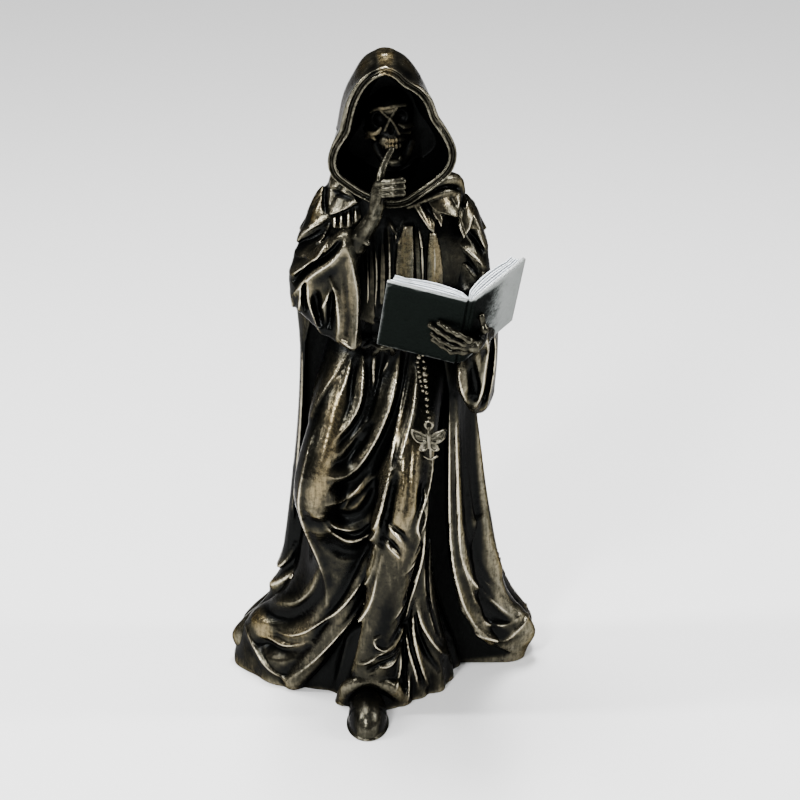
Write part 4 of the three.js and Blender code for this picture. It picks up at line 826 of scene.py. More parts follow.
# Raised flaps: the one over the left shoulder, then the points on the right.
mantleFlaps = [
    (1.9, 0.8, [(-18.6, 199), (-9.7, 188), (-13.4, 186), (-17, 184.1), (-20.3, 182.5), (-20.7, 186.1),
        (-20.4, 190.4), (-20.6, 199)]),
    (1.9, 0.8, [(13, 188.2), (18.7, 189.5), (25.7, 191.7), (25, 186.6), (24.2, 181.7), (20.3, 183.3),
        (16.6, 184.7)]),
    (1.5, 0.8, [(6.6, 190.4), (10.9, 183.9), (14, 179.1), (15.9, 177.3), (16.1, 180.7), (14, 183.9),
        (11.4, 187.7), (9, 190.6)]),
    (1.2, 0.7, [(13.4, 188), (16.1, 183.1), (18.5, 178.9), (18.9, 182.4), (17.5, 186)]),
    (1.4, 0.7, [(25, 183), (24.2, 179.5), (26.2, 174.2), (28.4, 177), (30.6, 183), (27.5, 186)]),
]
# The ragged line that the mantle ends on in front, from left to right.
mantleEdge = [
    (-34, 170), (-32, 171.6), (-30.3, 173.9), (-26.9, 176.9), (-23.2, 179.2), (-20.6, 181),
    (-19.8, 179.9), (-18.5, 178.2), (-16.2, 178.5), (-13.4, 178.8), (-10.7, 180.6), (-9.2, 182.6),
    (-9.4, 186), (-6, 190), (3, 189.8), (7.2, 188.6), (10.9, 183.6), (14, 178.8), (15.9, 176.9),
    (16.4, 180.7), (17, 182), (18.5, 178.7), (19.1, 182.4), (21.5, 182.8), (23.6, 181.2), (24, 179.2),
    (26.2, 174), (28.4, 176.8), (31, 176), (34, 170),
]


def makeMantle(clay):
    rows = [(199, 1, 1, 14, 13), (190, 1.5, 3, 23, 16), (183, 1.8, 3, 27.8, 18.5), (174, 2.1, 3.7, 32, 21.5)]
    clay.join(loft(rows, lambda angle, z: (0.4 + (199 - z) * 0.05) * pleat(angle * mantleForm["pleatCount"])))
    clay.emboss(Relief((-38, 166), (42, 204), mantleFolds, 0.3, mantleFlaps), 5)
    clay.carve(doorway(mantleEdge, -2), 0.6)
    clay.joinTubes(
        (1, [(5.4, -14, 189.5, 1.4), (12.2, -12.3, 193, 2), (19, -8.4, 195, 2.4),
            (23.6, -3.4, 193, 2.4), (25.2, -1, 188.6, 1.8)]),
        (0.8, [(7, -14.6, 187, 1), (14, -12.4, 189.6, 1.4), (20, -8.4, 190.6, 1.6),
            (24.4, -4, 188.4, 1.2)]),
    )
    clay.carve(throat(), 1.5)


# The hood: a dome whose rim juts out at the top, hollow inside, with a doubled lip.
hoodForm = {"wall": 2.5, "groove": 0.9, "lip": 0.45, "waist": 5.5, "hollowBack": 2.0, "step": 0.42}
hoodRows = [
    (239.4, -1, -5.5, 3, 5),
    (236.6, -1, -6.5, 7.6, 12),
    (230, -0.5, -4.5, 11.6, 17),
    (222, -0.5, -2, 14.8, 19.5),
    (212, 0, -0.5, 17.2, 19.5),
    (204, 0.8, 0.5, 19.8, 18.5),
    (196, 0.5, 1.5, 19, 17.5),
    (186, 0.5, 2, 16, 15),
]
hoodRim = [
    (-0.8, 235.2), (-4.2, 233.9), (-7.7, 230.6), (-10.7, 224.9), (-12.5, 218), (-13.5, 213.5),
    (-16.4, 208.9), (-18, 204.2), (-17.2, 200), (-12.9, 196.3), (-7.8, 193.2), (0, 190.6), (5.8, 191),
    (8.5, 192.6), (14.6, 196.6), (19.7, 201.5), (20.9, 206.8), (18, 213.6), (14.7, 218.7), (12.6, 224.6),
    (9.6, 228.3), (5, 231.2), (2, 234.2),
]


# How far forward the rim stands: furthest at its top and, in the middle, at its foot.
def rimDepth(x, z):
    return -18 - 5 * np.clip((z - 208) / 26, 0, 1) - 3 * np.clip((200 - z) / 10, 0, 1) * (1 - np.abs(x) / 18)


hoodFolds = [
    (0.7, 2, 1.2, 1, [(-8.4, 231.8), (-12.8, 225), (-14.2, 218), (-15, 212), (-17.8, 206.5)]),
    (0.6, 1.2, 2, 1, [(8, 231.4), (11.6, 229), (14.6, 223.6), (16.6, 218), (19.6, 211)]),
    (0.8, 2.5, 2.5, 0.3, [(-8, 234), (-13, 227), (-16, 216), (-18.5, 204)]),
]


def makeHood(clay):
    clay.join(loft(hoodRows))
    rim = strand([(x, 0, z) for x, z in hoodRim + hoodRim[:1]], 2.0)
    mouth = [(x, z) for x, y, z in rim[:-1]]
    low = min(x for x, z in mouth), -60, min(z for x, z in mouth)
    high = max(x for x, z in mouth), hoodForm["hollowBack"], max(z for x, z in mouth)

    def taper(x, y, z):
        inward = np.clip((y - rimDepth(x, z)) / 30, 0, 1)
        return outlineDistance(mouth, x, z) + hoodForm["waist"] * np.sin(inward * np.pi / 2) ** 2

    def hollow(x, y, z):
        return np.maximum(taper(x, y, z), y - hoodForm["hollowBack"])

    def wall(x, y, z):
        outside = taper(x, y, z) - hoodForm["wall"]
        groove = hoodForm["groove"] * np.exp(-(((outside + hoodForm["wall"] / 2) / 0.55) ** 2))
        return np.maximum(np.maximum(outside, rimDepth(x, z) + groove - y), y - 4)

    clay.join(((low[0] - 3, -27, low[2] - 3), (high[0] + 3, 5, high[2] + 3), wall), 4)
    clay.emboss(Relief((-26, 180), (28, 242), hoodFolds), 12)
    clay.carve((low, high, hollow), 0.4)
    clay.join(tube([(x, rimDepth(x, z) + 0.2, z, hoodForm["lip"]) for x, y, z in rim]), 0.5)


# The skull, rolled so that its crown leans to the left.
skullForm = {"roll": -0.12, "step": 0.28, "toothCount": 6}


def makeSkull(clay):
    roll = skullForm["roll"]
    clay.join(ball((0.4, 1, 215), (8.6, 9.5, 9.8), roll))
    clay.join(ball((1.6, -4.6, 209.3), (5.2, 4.4, 3.2), roll), 2)
    jaw = [(-4.2, -3, 205.5, 1.6), (-1.4, -6.6, 201.3, 1.6), (3, -8, 200.4, 1.9)]
    clay.join(tube([*jaw, (6, -6, 201.6, 1.6), (8, -2.4, 206.5, 1.6)]), 1.5)
    for side in (-1, 1):
        clay.carve(ball((0.8 + side * 3.9, -8.6, 216 + side * 0.4), (2.9, 4.2, 2.6), roll), 0.8)
    brow = [(-6, -6.6, 218.3, 0.7), (-3.8, -8.2, 219.9, 0.8), (-1.1, -9, 220, 0.8)]
    clay.join(tube([*brow, (2, -9, 220.8, 0.75), (6, -7.2, 220.9, 0.7)]), 0.8)
    clay.join(ball((0.4, -7.9, 219), (2.2, 1.3, 1.7)), 0.6)
    clay.joinTubes(
        (0.4, [(-2.6, -8.6, 219.2, 0.5), (0.4, -9.5, 216.6, 0.55)]),
        (0.4, [(3, -8.8, 220.2, 0.5), (0.8, -9.5, 216.6, 0.55)]),
    )
    clay.carve(ball((1.3, -9.6, 213.2), (1.5, 3, 2.5), roll), 0.4)
    # The nose's two edges and the left cheek.
    clay.joinTubes(
        (0.3, [(0.6, -9.9, 216.8, 0.5), (-0.3, -9.8, 214.4, 0.5), (-1.1, -9, 212.2, 0.5)]),
        (0.3, [(0.9, -9.9, 216.6, 0.5), (2.5, -9.6, 214, 0.5), (3.8, -8.8, 211, 0.5)]),
        (0.8, [(-7.8, -4.6, 211.9, 0.9), (-6.1, -6.8, 210.7, 1.1), (-3.8, -7.9, 211.2, 1),
            (-2.4, -8.2, 213, 0.6)]),
        (0.6, [(-7.4, -5.2, 209, 0.8), (-6, -6.6, 210.2, 1), (-4.4, -7.4, 208.8, 0.7)]),
    )
    clay.join(ball((-1.2, -7.8, 208.4), (2, 1.6, 2.1)), 0.6)
    clay.join(ball((4.2, -8, 201.8), (0.9, 0.9, 1.6)), 0.5)
    # The right cheek, then the teeth in two rows.
    clay.joinTubes(
        (0.8, [(3.7, -8.2, 214.2, 0.6), (5.2, -7.8, 213.4, 1), (8.2, -5.2, 213.3, 1)]),
        (0.6, [(4.3, -8, 211.4, 0.7), (7.4, -5.8, 211, 0.8)]),
    )
    for z, reach in ((208.8, 9.6), (206.7, 9.4)):
        for i in range(skullForm["toothCount"]):
            turn = (i + 0.5) / skullForm["toothCount"] - 0.5
            x = 1.2 + 7 * turn
            clay.join(ball((x, 2.8 * (2 * turn) ** 2 - reach, z + 0.2 * turn), (0.62, 0.8, 1.15), roll), 0.25)
    clay.carve(tube([(-3.4, -6.4, 207.8, 0.28), (1.2, -10, 207.8, 0.28), (5.8, -6.4, 207.8, 0.28)]), 0.2)


# A bony finger through joints of (x, y, z): slim shafts between knuckles.
def finger(clay, joints, radius, blend=0.5, knobbly=1.0):
    p = np.array(joints, dtype=float)
    for a, b in zip(p[:-1], p[1:]):
        middle = (a + b) / 2
        waist = radius * (1 - 0.18 * knobbly)
        clay.join(tube([(*a, radius), (*middle, waist), (*b, radius * 0.96)], 0.7), blend)
    for a in p[:-1]:
        clay.join(ball(a, (radius * (1 + 0.06 * knobbly),) * 3), blend)


# The raised hand: one finger to the lips and three folded one above another.
raisedHandForm = {"finger": 1.08, "step": 0.26}


def makeRaisedHand(clay):
    r = raisedHandForm["finger"]
    clay.joinTubes(
        (0, [(-10.8, -22.4, 175.6, 3.6), (-8.2, -24.6, 180.6, 3.3), (-4.9, -26.2, 186.5, 2.7),
            (-3.9, -26.8, 190.5, 2.4)]),
        (1, [(-3.9, -26.8, 190.5, 2.4), (-3.7, -27, 193.6, 2.5), (-3, -27.2, 197, 2.5)]),
        (0.8, [(-13.4, -23.4, 177.6, 0.9), (-10.4, -26.2, 179.6, 1), (-7, -26.6, 177.4, 0.9)]),
    )
    for i in range(3):
        sinew = [(-5.4 + 0.8 * i, -28.8, 188 + i, 0.45), (-3.4 + 0.3 * i, -29.6, 193 + 1.4 * i, 0.6)]
        clay.join(tube(sinew), 0.8)
    pointing = [(-2.9, -27.6, 197.5, 1.45), (-2.4, -26.5, 201.4, 1.4), (-0.9, -24.2, 205.4, 1.2)]
    clay.join(tube([*pointing, (1.2, -21.8, 209, 1.05)], 0.7), 0.6)
    for row in range(3):
        z = 199.9 - 2.15 * row
        knuckles = [(-3.7 + 0.2 * row, -28, z - 1.4), (-1.4, -30.3, z - 0.1), (1.8, -31, z + 0.3)]
        finger(clay, [*knuckles, (4.9, -29.8, z + 0.3), (4.2, -27, z)], r, 0.3, 0.2)


# The book's own frame: across to the right, up along the spine, and towards the reader.
tilt, roll = math.radians(sizes["bookTilt"]), math.radians(sizes["bookRoll"])
bookFacing = np.array([0, math.cos(tilt), math.sin(tilt)])
bookUpright = np.array([0, -math.sin(tilt), math.cos(tilt)])
bookSpine = bookUpright * math.cos(roll) + np.array([math.sin(roll), 0, 0])
bookAcross = np.array([math.cos(roll), 0, 0]) - bookUpright * math.sin(roll)
bookFoot = np.array(sizes["spineTop"]) - bookSpine * sizes["coverHeight"]


# A point in millimetres from its places across, up along the spine, and towards the reader.
def inBook(u, s, n):
    return tuple(bookFoot + bookAcross * u + bookSpine * s + bookFacing * n)


# Where a point of a cover's own flat plan lies across the open book.
def opened(side, along, up):
    turn = math.radians(sizes["leftOpening"] if side < 0 else sizes["rightOpening"])
    return side * (along * math.cos(turn) - up * math.sin(turn)), along * math.sin(turn) + up * math.cos(turn)


# The hand under the book: a palm at the sleeve's mouth and four fingers up the cover.
bookHandForm = {
    "finger": 1.12,
    "step": 0.26,
    # Each finger's tip, two joints and knuckle as (x, z) points on the left cover.
    "fingers": [
        [(17.3, 155.7), (19.9, 154.1), (23.4, 152.5), (27.2, 149.9)],
        [(14.3, 154.4), (17.3, 152.5), (20.9, 150.4), (25.6, 148.3)],
        [(15, 150.9), (17.8, 148.8), (21.9, 147.2), (25.8, 146.6)],
        [(15.3, 148.5), (18.3, 146.7), (21.4, 144.8), (25.2, 144.8)],
    ],
}


# The place on the left cover's plane, raised by n from its inner face, that is seen at (x, z) from in front.
def onCover(x, z, n):
    turn = math.radians(sizes["leftOpening"])
    start = np.array(inBook(n * math.sin(turn), 0, n * math.cos(turn)))
    outward = np.array(inBook(-math.cos(turn), 0, math.sin(turn))) - bookFoot
    plan = np.column_stack([outward[[0, 2]], bookSpine[[0, 2]]])
    along, up = np.linalg.solve(plan, np.array([x, z]) - start[[0, 2]])
    return tuple(start + outward * along + bookSpine * up)


def makeBookHand(clay):
    r, thick = bookHandForm["finger"], sizes["coverThickness"]
    palm = [(31.8, -29, 149.5, 3.2), (31.6, -36, 148.8, 2.5), (30.6, -42, 148, 2.6), (28.8, -46, 147, 2.3)]
    clay.join(tube(palm), 1)
    for line in bookHandForm["fingers"]:
        rises = (0.9 * r, r + 0.9, r + 1.8, r + 1.2)
        finger(clay, [onCover(x, z, -thick - rise) for (x, z), rise in zip(line, rises)][::-1], r, 0.3)
        root = onCover(*line[-1], -thick - r - 1.2)
        clay.join(tube([(*root, r), (29, -45, 0.5 * (line[-1][1] + 147), r * 1.2)]), 0.8)
    finger(clay, [(30.6, -42, 148.4), (32.4, -44, 152.4), (31.4, -43.4, 157)], 1.3, 0.6)


print("forms described")

# Where the modelled millimetres lie in the row's frame, found from the book's own lowest and highest corners.
thick, width, tall = sizes["coverThickness"], sizes["coverWidth"], sizes["coverHeight"]
coverCorners = []
for side in (-1, 1):
    for along, up in ((0.5, -thick), (width, -thick), (width, 0)):
        u, n = opened(side, along, up)
        coverCorners += [inBook(u, 0, n), inBook(u, tall, n)]
coverCorners = np.array(coverCorners)
bookLow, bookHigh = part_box("open_book")
toRight = bookHigh.x * 1000 - coverCorners[:, 0].max()
toBack = bookLow.y * 1000 - coverCorners[:, 1].min()
shift = np.array([toRight, toBack, 0.0])

# All that lies below the ground.
groundSlab = ((-80, -70, -12), (80, 70, 0), lambda x, y, z: z + 0 * x + 0 * y)

# Where the bronze is rubbed brighter, or left darker, as strokes on the front of a piece. Some strokes are
# painted light instead: the bright ones on the hood's top and the robe's far left hem are painted highlights,
# and the dark ones on the cloak's right under the sleeve are painted shade.
rubsAndPaintedLight = {
    "cloak": [
        (-1.1, 7, 4, 0, [(-28.6, 142), (-29.6, 118), (-30.4, 98), (-33, 70), (-38, 44)]),
        # painted shade under the book arm's sleeve
        (-0.45, 6, 6, 0, [(27, 122), (28, 104), (29, 88)]),
        (-0.25, 4, 4, 0, [(36, 104), (38, 74), (42, 50)]),
        (-0.45, 3, 3, 0, [(23, 120), (23.4, 90), (24, 66), (26, 48)]),
    ],
    "robe": [
        (0.5, 6.5, 5.5, 0, [(-16.6, 127), (-18, 115), (-20.4, 103), (-24, 88), (-26.5, 78)]),
        (0.45, 6, 6, 0, [(7.6, 106), (7, 94), (5.4, 82), (4, 72)]),
        (0.2, 5, 4, 0, [(6, 72), (4, 62)]),
        (0.45, 2, 2, 0, [(8.8, 134), (7.4, 125), (4.4, 112.6), (1.6, 101)]),
        (0.3, 7, 7, 0, [(-26, 30), (-36, 18), (-44, 12)]),
        # painted highlight on the hem's far left
        (0.7, 5, 5, 0, [(-52, 30), (-48, 22), (-42, 14)]),
        (-0.5, 6, 6, 0, [(14, 140), (16, 130), (17, 116)]),
        (0.45, 8, 8, 0, [(-5, 92), (-10, 82), (-14, 74)]),
        (0.45, 3, 3, 0, [(-5, 78), (-7, 73), (-8, 69)]),
        (-0.3, 5, 6, 0, [(1, 50), (-2, 36), (-4, 24)]),
    ],
    "chest": [
        (0.28, 3, 3, 0, [(-14.4, 174), (-14, 160), (-14, 150), (-14.6, 142)]),
        (0.3, 4, 4, 0, [(-20, 166), (-25, 161), (-29, 155)]),
        (0.55, 3.4, 3.4, 0, [(6.4, 179), (5.6, 166), (5.6, 156)]),
        (0.75, 3, 3, 0, [(15.8, 176), (16.4, 166), (16.5, 156)]),
        (-0.25, 3.4, 3.4, 0, [(-18, 168), (-22, 164), (-26, 161)]),
        (-0.5, 9, 9, 0, [(-8, 147), (2, 143), (12, 146)]),
        (-0.3, 4, 4, 0, [(29, 134), (30, 122)]),
        (-0.45, 4, 5, 0, [(22.4, 172), (22.8, 160), (23, 150)]),
        (-0.8, 4, 4, 0, [(-27.4, 154), (-24.4, 148), (-20.6, 143.6)]),
        (-0.5, 3, 3, 0, [(-20.6, 154), (-19.6, 146)]),
        (-0.4, 5, 5, 0, [(-3, 176), (-3, 162), (-2, 150)]),
    ],
    "mantle": [
        (0.3, 5, 5, 0, [(-23, 190), (-25.4, 184), (-27, 178)]),
        (0.4, 3.5, 3.5, 0, [(17, 188), (23.6, 188)]),
        (0.35, 2, 2, 0, [(12, 184), (15.2, 179)]),
        (-0.3, 3, 3, 0, [(20, 194), (12, 192)]),
    ],
    "hood": [
        # painted highlight down the top of the hood's dome
        (2.4, 3.4, 5, 0.2, [(-1.8, 243), (-1.5, 240), (-1, 236.6)]),
        (0.7, 2.6, 2.6, 0, [(-6, 238.6), (-12, 231.5)]),
        (0.7, 2.6, 2.6, 0, [(5, 238), (12, 230.5)]),
        (-0.45, 1.6, 1.6, 0, [(-7.4, 234.2), (-3, 237.2)]),
        (-0.45, 1.6, 1.6, 0, [(3, 236.8), (8, 232)]),
    ],
    "skull": [
        (0.35, 3.4, 3.4, 0, [(1, 210), (1.4, 206.6)]),
        (0.3, 2.6, 2.6, 0, [(-7, 211.4), (-5, 210), (-3, 212)]),
        (0.15, 2, 2, 0, [(6, 220.6), (0, 220), (-6, 219)]),
        (-0.5, 3, 3, 0, [(-5, 204), (1, 199), (8, 203)]),
    ],
}

# Each piece: name, maker, corners of its clay, grid step, most facets, and how much brighter it is rubbed.
pieces = [
    ("cloak", makeCloak, (-63, -16, -2), (63, 56, 202), cloakForm["step"], 150000, 0.0),
    ("robe", makeRobe, (-61, -40, -2), (34, 42, 149), robeForm["step"], 195000, 0.0),
    ("shoe", makeShoe, (-18, -52, -2), (3, -18, 14), shoeForm["step"], 40000, -0.3),
    ("chest", makeChest, (-40, -40, 105), (42, 20, 200), chestForm["step"], 160000, 0.0),
    ("belt", makeBelt, (-19, -26, 130), (20, -8, 145), beltForm["step"], 30000, -0.45),
    ("mantle", makeMantle, (-38, -26, 172), (40, 28, 202), mantleForm["step"], 90000, 0.0),
    ("hood", makeHood, (-25, -30, 166), (28, 24, 243), hoodForm["step"], 110000, -0.16),
    ("skull", makeSkull, (-12, -14, 195), (13, 14, 227), skullForm["step"], 60000, 0.06),
    ("raisedHand", makeRaisedHand, (-20, -36, 170), (9, -16, 213), raisedHandForm["step"], 40000, -0.3),
    ("bookHand", makeBookHand, (8, -66, 138), (39, -24, 162), bookHandForm["step"], 50000, -0.36),
]

# One coarse model of everything tells how open or sheltered each place is.
coarseForm = {
    "low": (-66, -62, -4),
    "high": (66, 60, 246),
    "step": 1.5,
    "reach": 12.0,
    "feelers": (1.5, 3.0, 5.0, 8.0),
}
whole = Clay(coarseForm["low"], coarseForm["high"], coarseForm["step"], coarseForm["reach"])
for name, maker, low, high, step, most, tone in pieces:
    layer = Clay(whole.low, whole.low + (whole.count - 1) * whole.step, whole.step, coarseForm["reach"])
    maker(layer)
    whole.field = np.minimum(whole.field, layer.field)
print("coarse model ready")


# How open each place is, from nought to one, by how far off the clay is along its normal.
def shelter(points, normals):
    total = np.zeros(len(points))
    for distance in coarseForm["feelers"]:
        total += np.clip(whole.sample(points + normals * distance) / distance, 0, 1)
    return total / len(coarseForm["feelers"])


# How much of the sky is seen from the air around the figure: rays go out in all directions that aren't well
# below level, and each is dimmed by how narrowly it clears the clay.
skyLight = {
    "rayCount": 40,
    "lowest": -0.3,
    "highest": 0.98,
    "stepCount": 16,
    "softness": 2.5,
    "nearest": 0.3,
    "farthest": 4.5,
    "spreads": 4,
}


def skyOver(clay):
    turn = np.arange(skyLight["rayCount"]) * math.pi * (3 - math.sqrt(5))
    height = np.linspace(skyLight["lowest"], skyLight["highest"], skyLight["rayCount"])
    flat = np.sqrt(1 - height**2)
    rays = np.stack([flat * np.cos(turn), flat * np.sin(turn), height], axis=1)
    cells = np.argwhere((clay.field > skyLight["nearest"]) & (clay.field < skyLight["farthest"]))
    start = clay.low + cells * clay.step
    seen = np.zeros(len(cells))
    for ray in rays:
        far = np.full(len(cells), 1.0)
        clear = np.ones(len(cells))
        for _ in range(skyLight["stepCount"]):
            at = np.round((start + ray * far[:, None] - clay.low) / clay.step).astype(int)
            inside = np.all((at >= 0) & (at < clay.count), axis=1)
            at = np.clip(at, 0, clay.count - 1)
            gap = np.where(inside, clay.field[at[:, 0], at[:, 1], at[:, 2]], 20.0)
            clear = np.minimum(clear, np.clip(gap / far * skyLight["softness"] + 0.1, 0, 1))
            far += np.clip(gap, 1.0, 12.0)
        seen += clear
    sky = np.zeros(tuple(clay.count))
    known = np.zeros(tuple(clay.count))
    sky[tuple(cells.T)] = seen / len(rays)
    known[tuple(cells.T)] = 1
    # The values spread to the cells around them, so that places on the surface can be read too.
    for _ in range(skyLight["spreads"]):
        total, weight = sky * known, known.copy()
        for axis in range(3):
            for side in (-1, 1):
                total += np.roll(sky * known, side, axis)
                weight += np.roll(known, side, axis)
        fresh = (known == 0) & (weight > 0)
        sky[fresh] = total[fresh] / weight[fresh]
        known[fresh] = 1
    return sky


sky = skyOver(whole)
print("sky light worked out")


def meshFrom(name, points, faces):
    mesh = bpy.data.meshes.new(name)
    corners = faces.shape[1]
    mesh.vertices.add(len(points))
    mesh.vertices.foreach_set("co", points.astype(np.float32).ravel())
    mesh.loops.add(faces.size)
    mesh.loops.foreach_set("vertex_index", faces.astype(np.int32).ravel())
    mesh.polygons.add(len(faces))
    mesh.polygons.foreach_set("loop_start", np.arange(0, faces.size, corners, dtype=np.int32))
    mesh.update(calc_edges=True)
    return mesh


# Adds an object to the scene.
def added(name, data):
    thing = bpy.data.objects.new(name, data)
    bpy.context.collection.objects.link(thing)
    return thing


# Puts the mesh that a piece's modifiers make in place of its own.
def settled(piece):
    fresh = bpy.data.meshes.new_from_object(piece.evaluated_get(bpy.context.evaluated_depsgraph_get()))
    piece.modifiers.clear()
    piece.data = fresh
    return fresh


# A mesh's points, one row each.
def pointsOf(mesh):
    co = np.empty(len(mesh.vertices) * 3, dtype=np.float32)
    mesh.vertices.foreach_get("co", co)
    return co.reshape(-1, 3)


# Keeps a value for each point of a mesh, for its material to read.
def store(mesh, name, values):
    layer = mesh.attributes.new(name, "FLOAT", "POINT")
    layer.data.foreach_set("value", values.astype(np.float32))


clays = {}


# Makes a piece's mesh from its clay, and stores what its finish reads.
def sculpt(name, maker, low, high, step, most, tone):
    clay = Clay(low, high, step)
    maker(clay)
    clay.carve(groundSlab)
    clay.seal()
    points, quads = clay.surface()
    triangles = np.concatenate([quads[:, [0, 1, 2]], quads[:, [0, 2, 3]]])
    mesh = meshFrom(name, (points + shift) / 1000, triangles)
    piece = added(name, mesh)
    if len(triangles) > most:
        piece.modifiers.new("thin", "DECIMATE").ratio = most / len(triangles)
        mesh = settled(piece)
    mesh.name = name
    co = pointsOf(mesh) * 1000 - shift
    normals = clay.slope(co, 1.5 * step)
    stride = max(1, int(round(0.6 / step)))
    store(mesh, "ridge", clay.sample(co, clay.softened((stride, 2 * stride))))
    store(mesh, "bulge", clay.sample(co, clay.softened((stride, 2 * stride, 4 * stride))))
    store(mesh, "openness", shelter(co, normals))
    store(mesh, "sky", whole.sample(co + normals * 2.0, sky))
    # The rub strokes, some of which are painted highlights and painted shade, are added to the piece's tone.
    brushed = Relief((low[0], low[2]), (high[0], high[2]), rubsAndPaintedLight.get(name, []), 0.6)
    frontal = np.clip(0.3 - normals[:, 1] * 1.4, 0, 1)
    store(mesh, "tone", tone + brushed.read(brushed.height, co[:, 0], co[:, 2]) * frontal)
    crest = np.zeros(len(co))
    if clay.relief:
        facing = np.clip(0.2 - normals[:, 1] * 1.6, 0, 1)
        crest = clay.relief.read(clay.relief.crest, co[:, 0], co[:, 2]) * facing
    store(mesh, "crest", crest)
    mesh.shade_smooth()
    clays[name] = clay
    print(name, len(triangles), "facets,", len(mesh.polygons), "kept")
    return piece


castPieces = []
for row in pieces:
    piece = sculpt(*row)
    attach(piece, "root")
    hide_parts("hooded_figure")
    castPieces.append(piece)


# Shader sockets that take part in sums, so that a finish reads as the arithmetic it is.
class Wire:
    def __init__(self, tree, socket):
        self.tree = tree
        self.socket = socket

    def math(self, operation, *others):
        return shaderNode(self.tree, "ShaderNodeMath", {"operation": operation}, [self, *others])

    def __add__(self, other):
        return self.math("ADD", other)

    def __mul__(self, other):
        return self.math("MULTIPLY", other)

    def __sub__(self, other):
        return self.math("SUBTRACT", other)

    def __rsub__(self, other):
        return shaderNode(self.tree, "ShaderNodeMath", {"operation": "SUBTRACT"}, [other, self])

    __radd__ = __add__
    __rmul__ = __mul__

    # Joins this value to an input of a shader.
    def into(self, shader, label):
        self.tree.links.new(self.socket, shader.inputs[label])

    # From nought to one as the value goes from low to high.
    def span(self, low, high):
        settings = {"interpolation_type": "SMOOTHSTEP"}
        values = {"Value": self, "From Min": low, "From Max": high}
        return shaderNode(self.tree, "ShaderNodeMapRange", settings, values)


# One node with its settings, the values or links of its inputs, and the output that is used.
def shaderNode(tree, kind, settings=None, inputs=None, output=0):
    node = tree.nodes.new(kind)
    for key, value in (settings or {}).items():
        setattr(node, key, value)
    pairs = enumerate(inputs) if isinstance(inputs, (list, tuple)) else (inputs or {}).items()
    for key, value in pairs:
        if isinstance(value, Wire):
            tree.links.new(value.socket, node.inputs[key])
        else:
            node.inputs[key].default_value = value
    return Wire(tree, node.outputs[output])


# The first colour, turning into the second as the share goes from nought to one.
def blendColours(tree, share, first, second):
    node = tree.nodes.new("ShaderNodeMix")
    node.data_type = "RGBA"
    for index, value in ((0, share), (6, first), (7, second)):
        if isinstance(value, Wire):
            tree.links.new(value.socket, node.inputs[index])
        else:
            node.inputs[index].default_value = value if index == 0 else (*value, 1)
    return Wire(tree, node.outputs[2])


# A new material, with its node tree, its shader and the object's own coordinates.
def freshMaterial(name):
    material = bpy.data.materials.new(name)
    material.use_nodes = True
    tree = material.node_tree
    return material, tree, tree.nodes["Principled BSDF"], shaderNode(tree, "ShaderNodeTexCoord", output=3)


def noise(place, size, detail, roughness):
    values = {"Vector": place, "Scale": size, "Detail": detail, "Roughness": roughness}
    return shaderNode(place.tree, "ShaderNodeTexNoise", {}, values)


def stored(tree, name):
    return shaderNode(tree, "ShaderNodeAttribute", {"attribute_name": name}, output=2)


def bumped(shader, height, distance, strength):
    values = {"Height": height, "Distance": distance, "Strength": strength}
    shaderNode(height.tree, "ShaderNodeBump", {}, values).into(shader, "Normal")


# The casting's finish: a black patina in the hollows, brushed bronze on the swells, pale along the crests.
# The colour is also darkened as painted shade where little sky is seen, and the pale crests are partly a
# painted highlight.
bronzeFinish = {
    "dark": (0.0042, 0.0045, 0.0044),
    "brown": (0.028, 0.026, 0.018),
    "bronze": (0.138, 0.130, 0.098),
    "golden": (0.164, 0.130, 0.070),
    "paleWearAndHighlight": (0.50, 0.45, 0.335),
    "roughDark": 0.21,
    "roughBronze": 0.27,
    "stainSize": 620,
    "patchSize": 110,
    "brushSize": 1100,
    "gloss": 0.3,
    "edgeTint": (0.2, 0.19, 0.18),
}


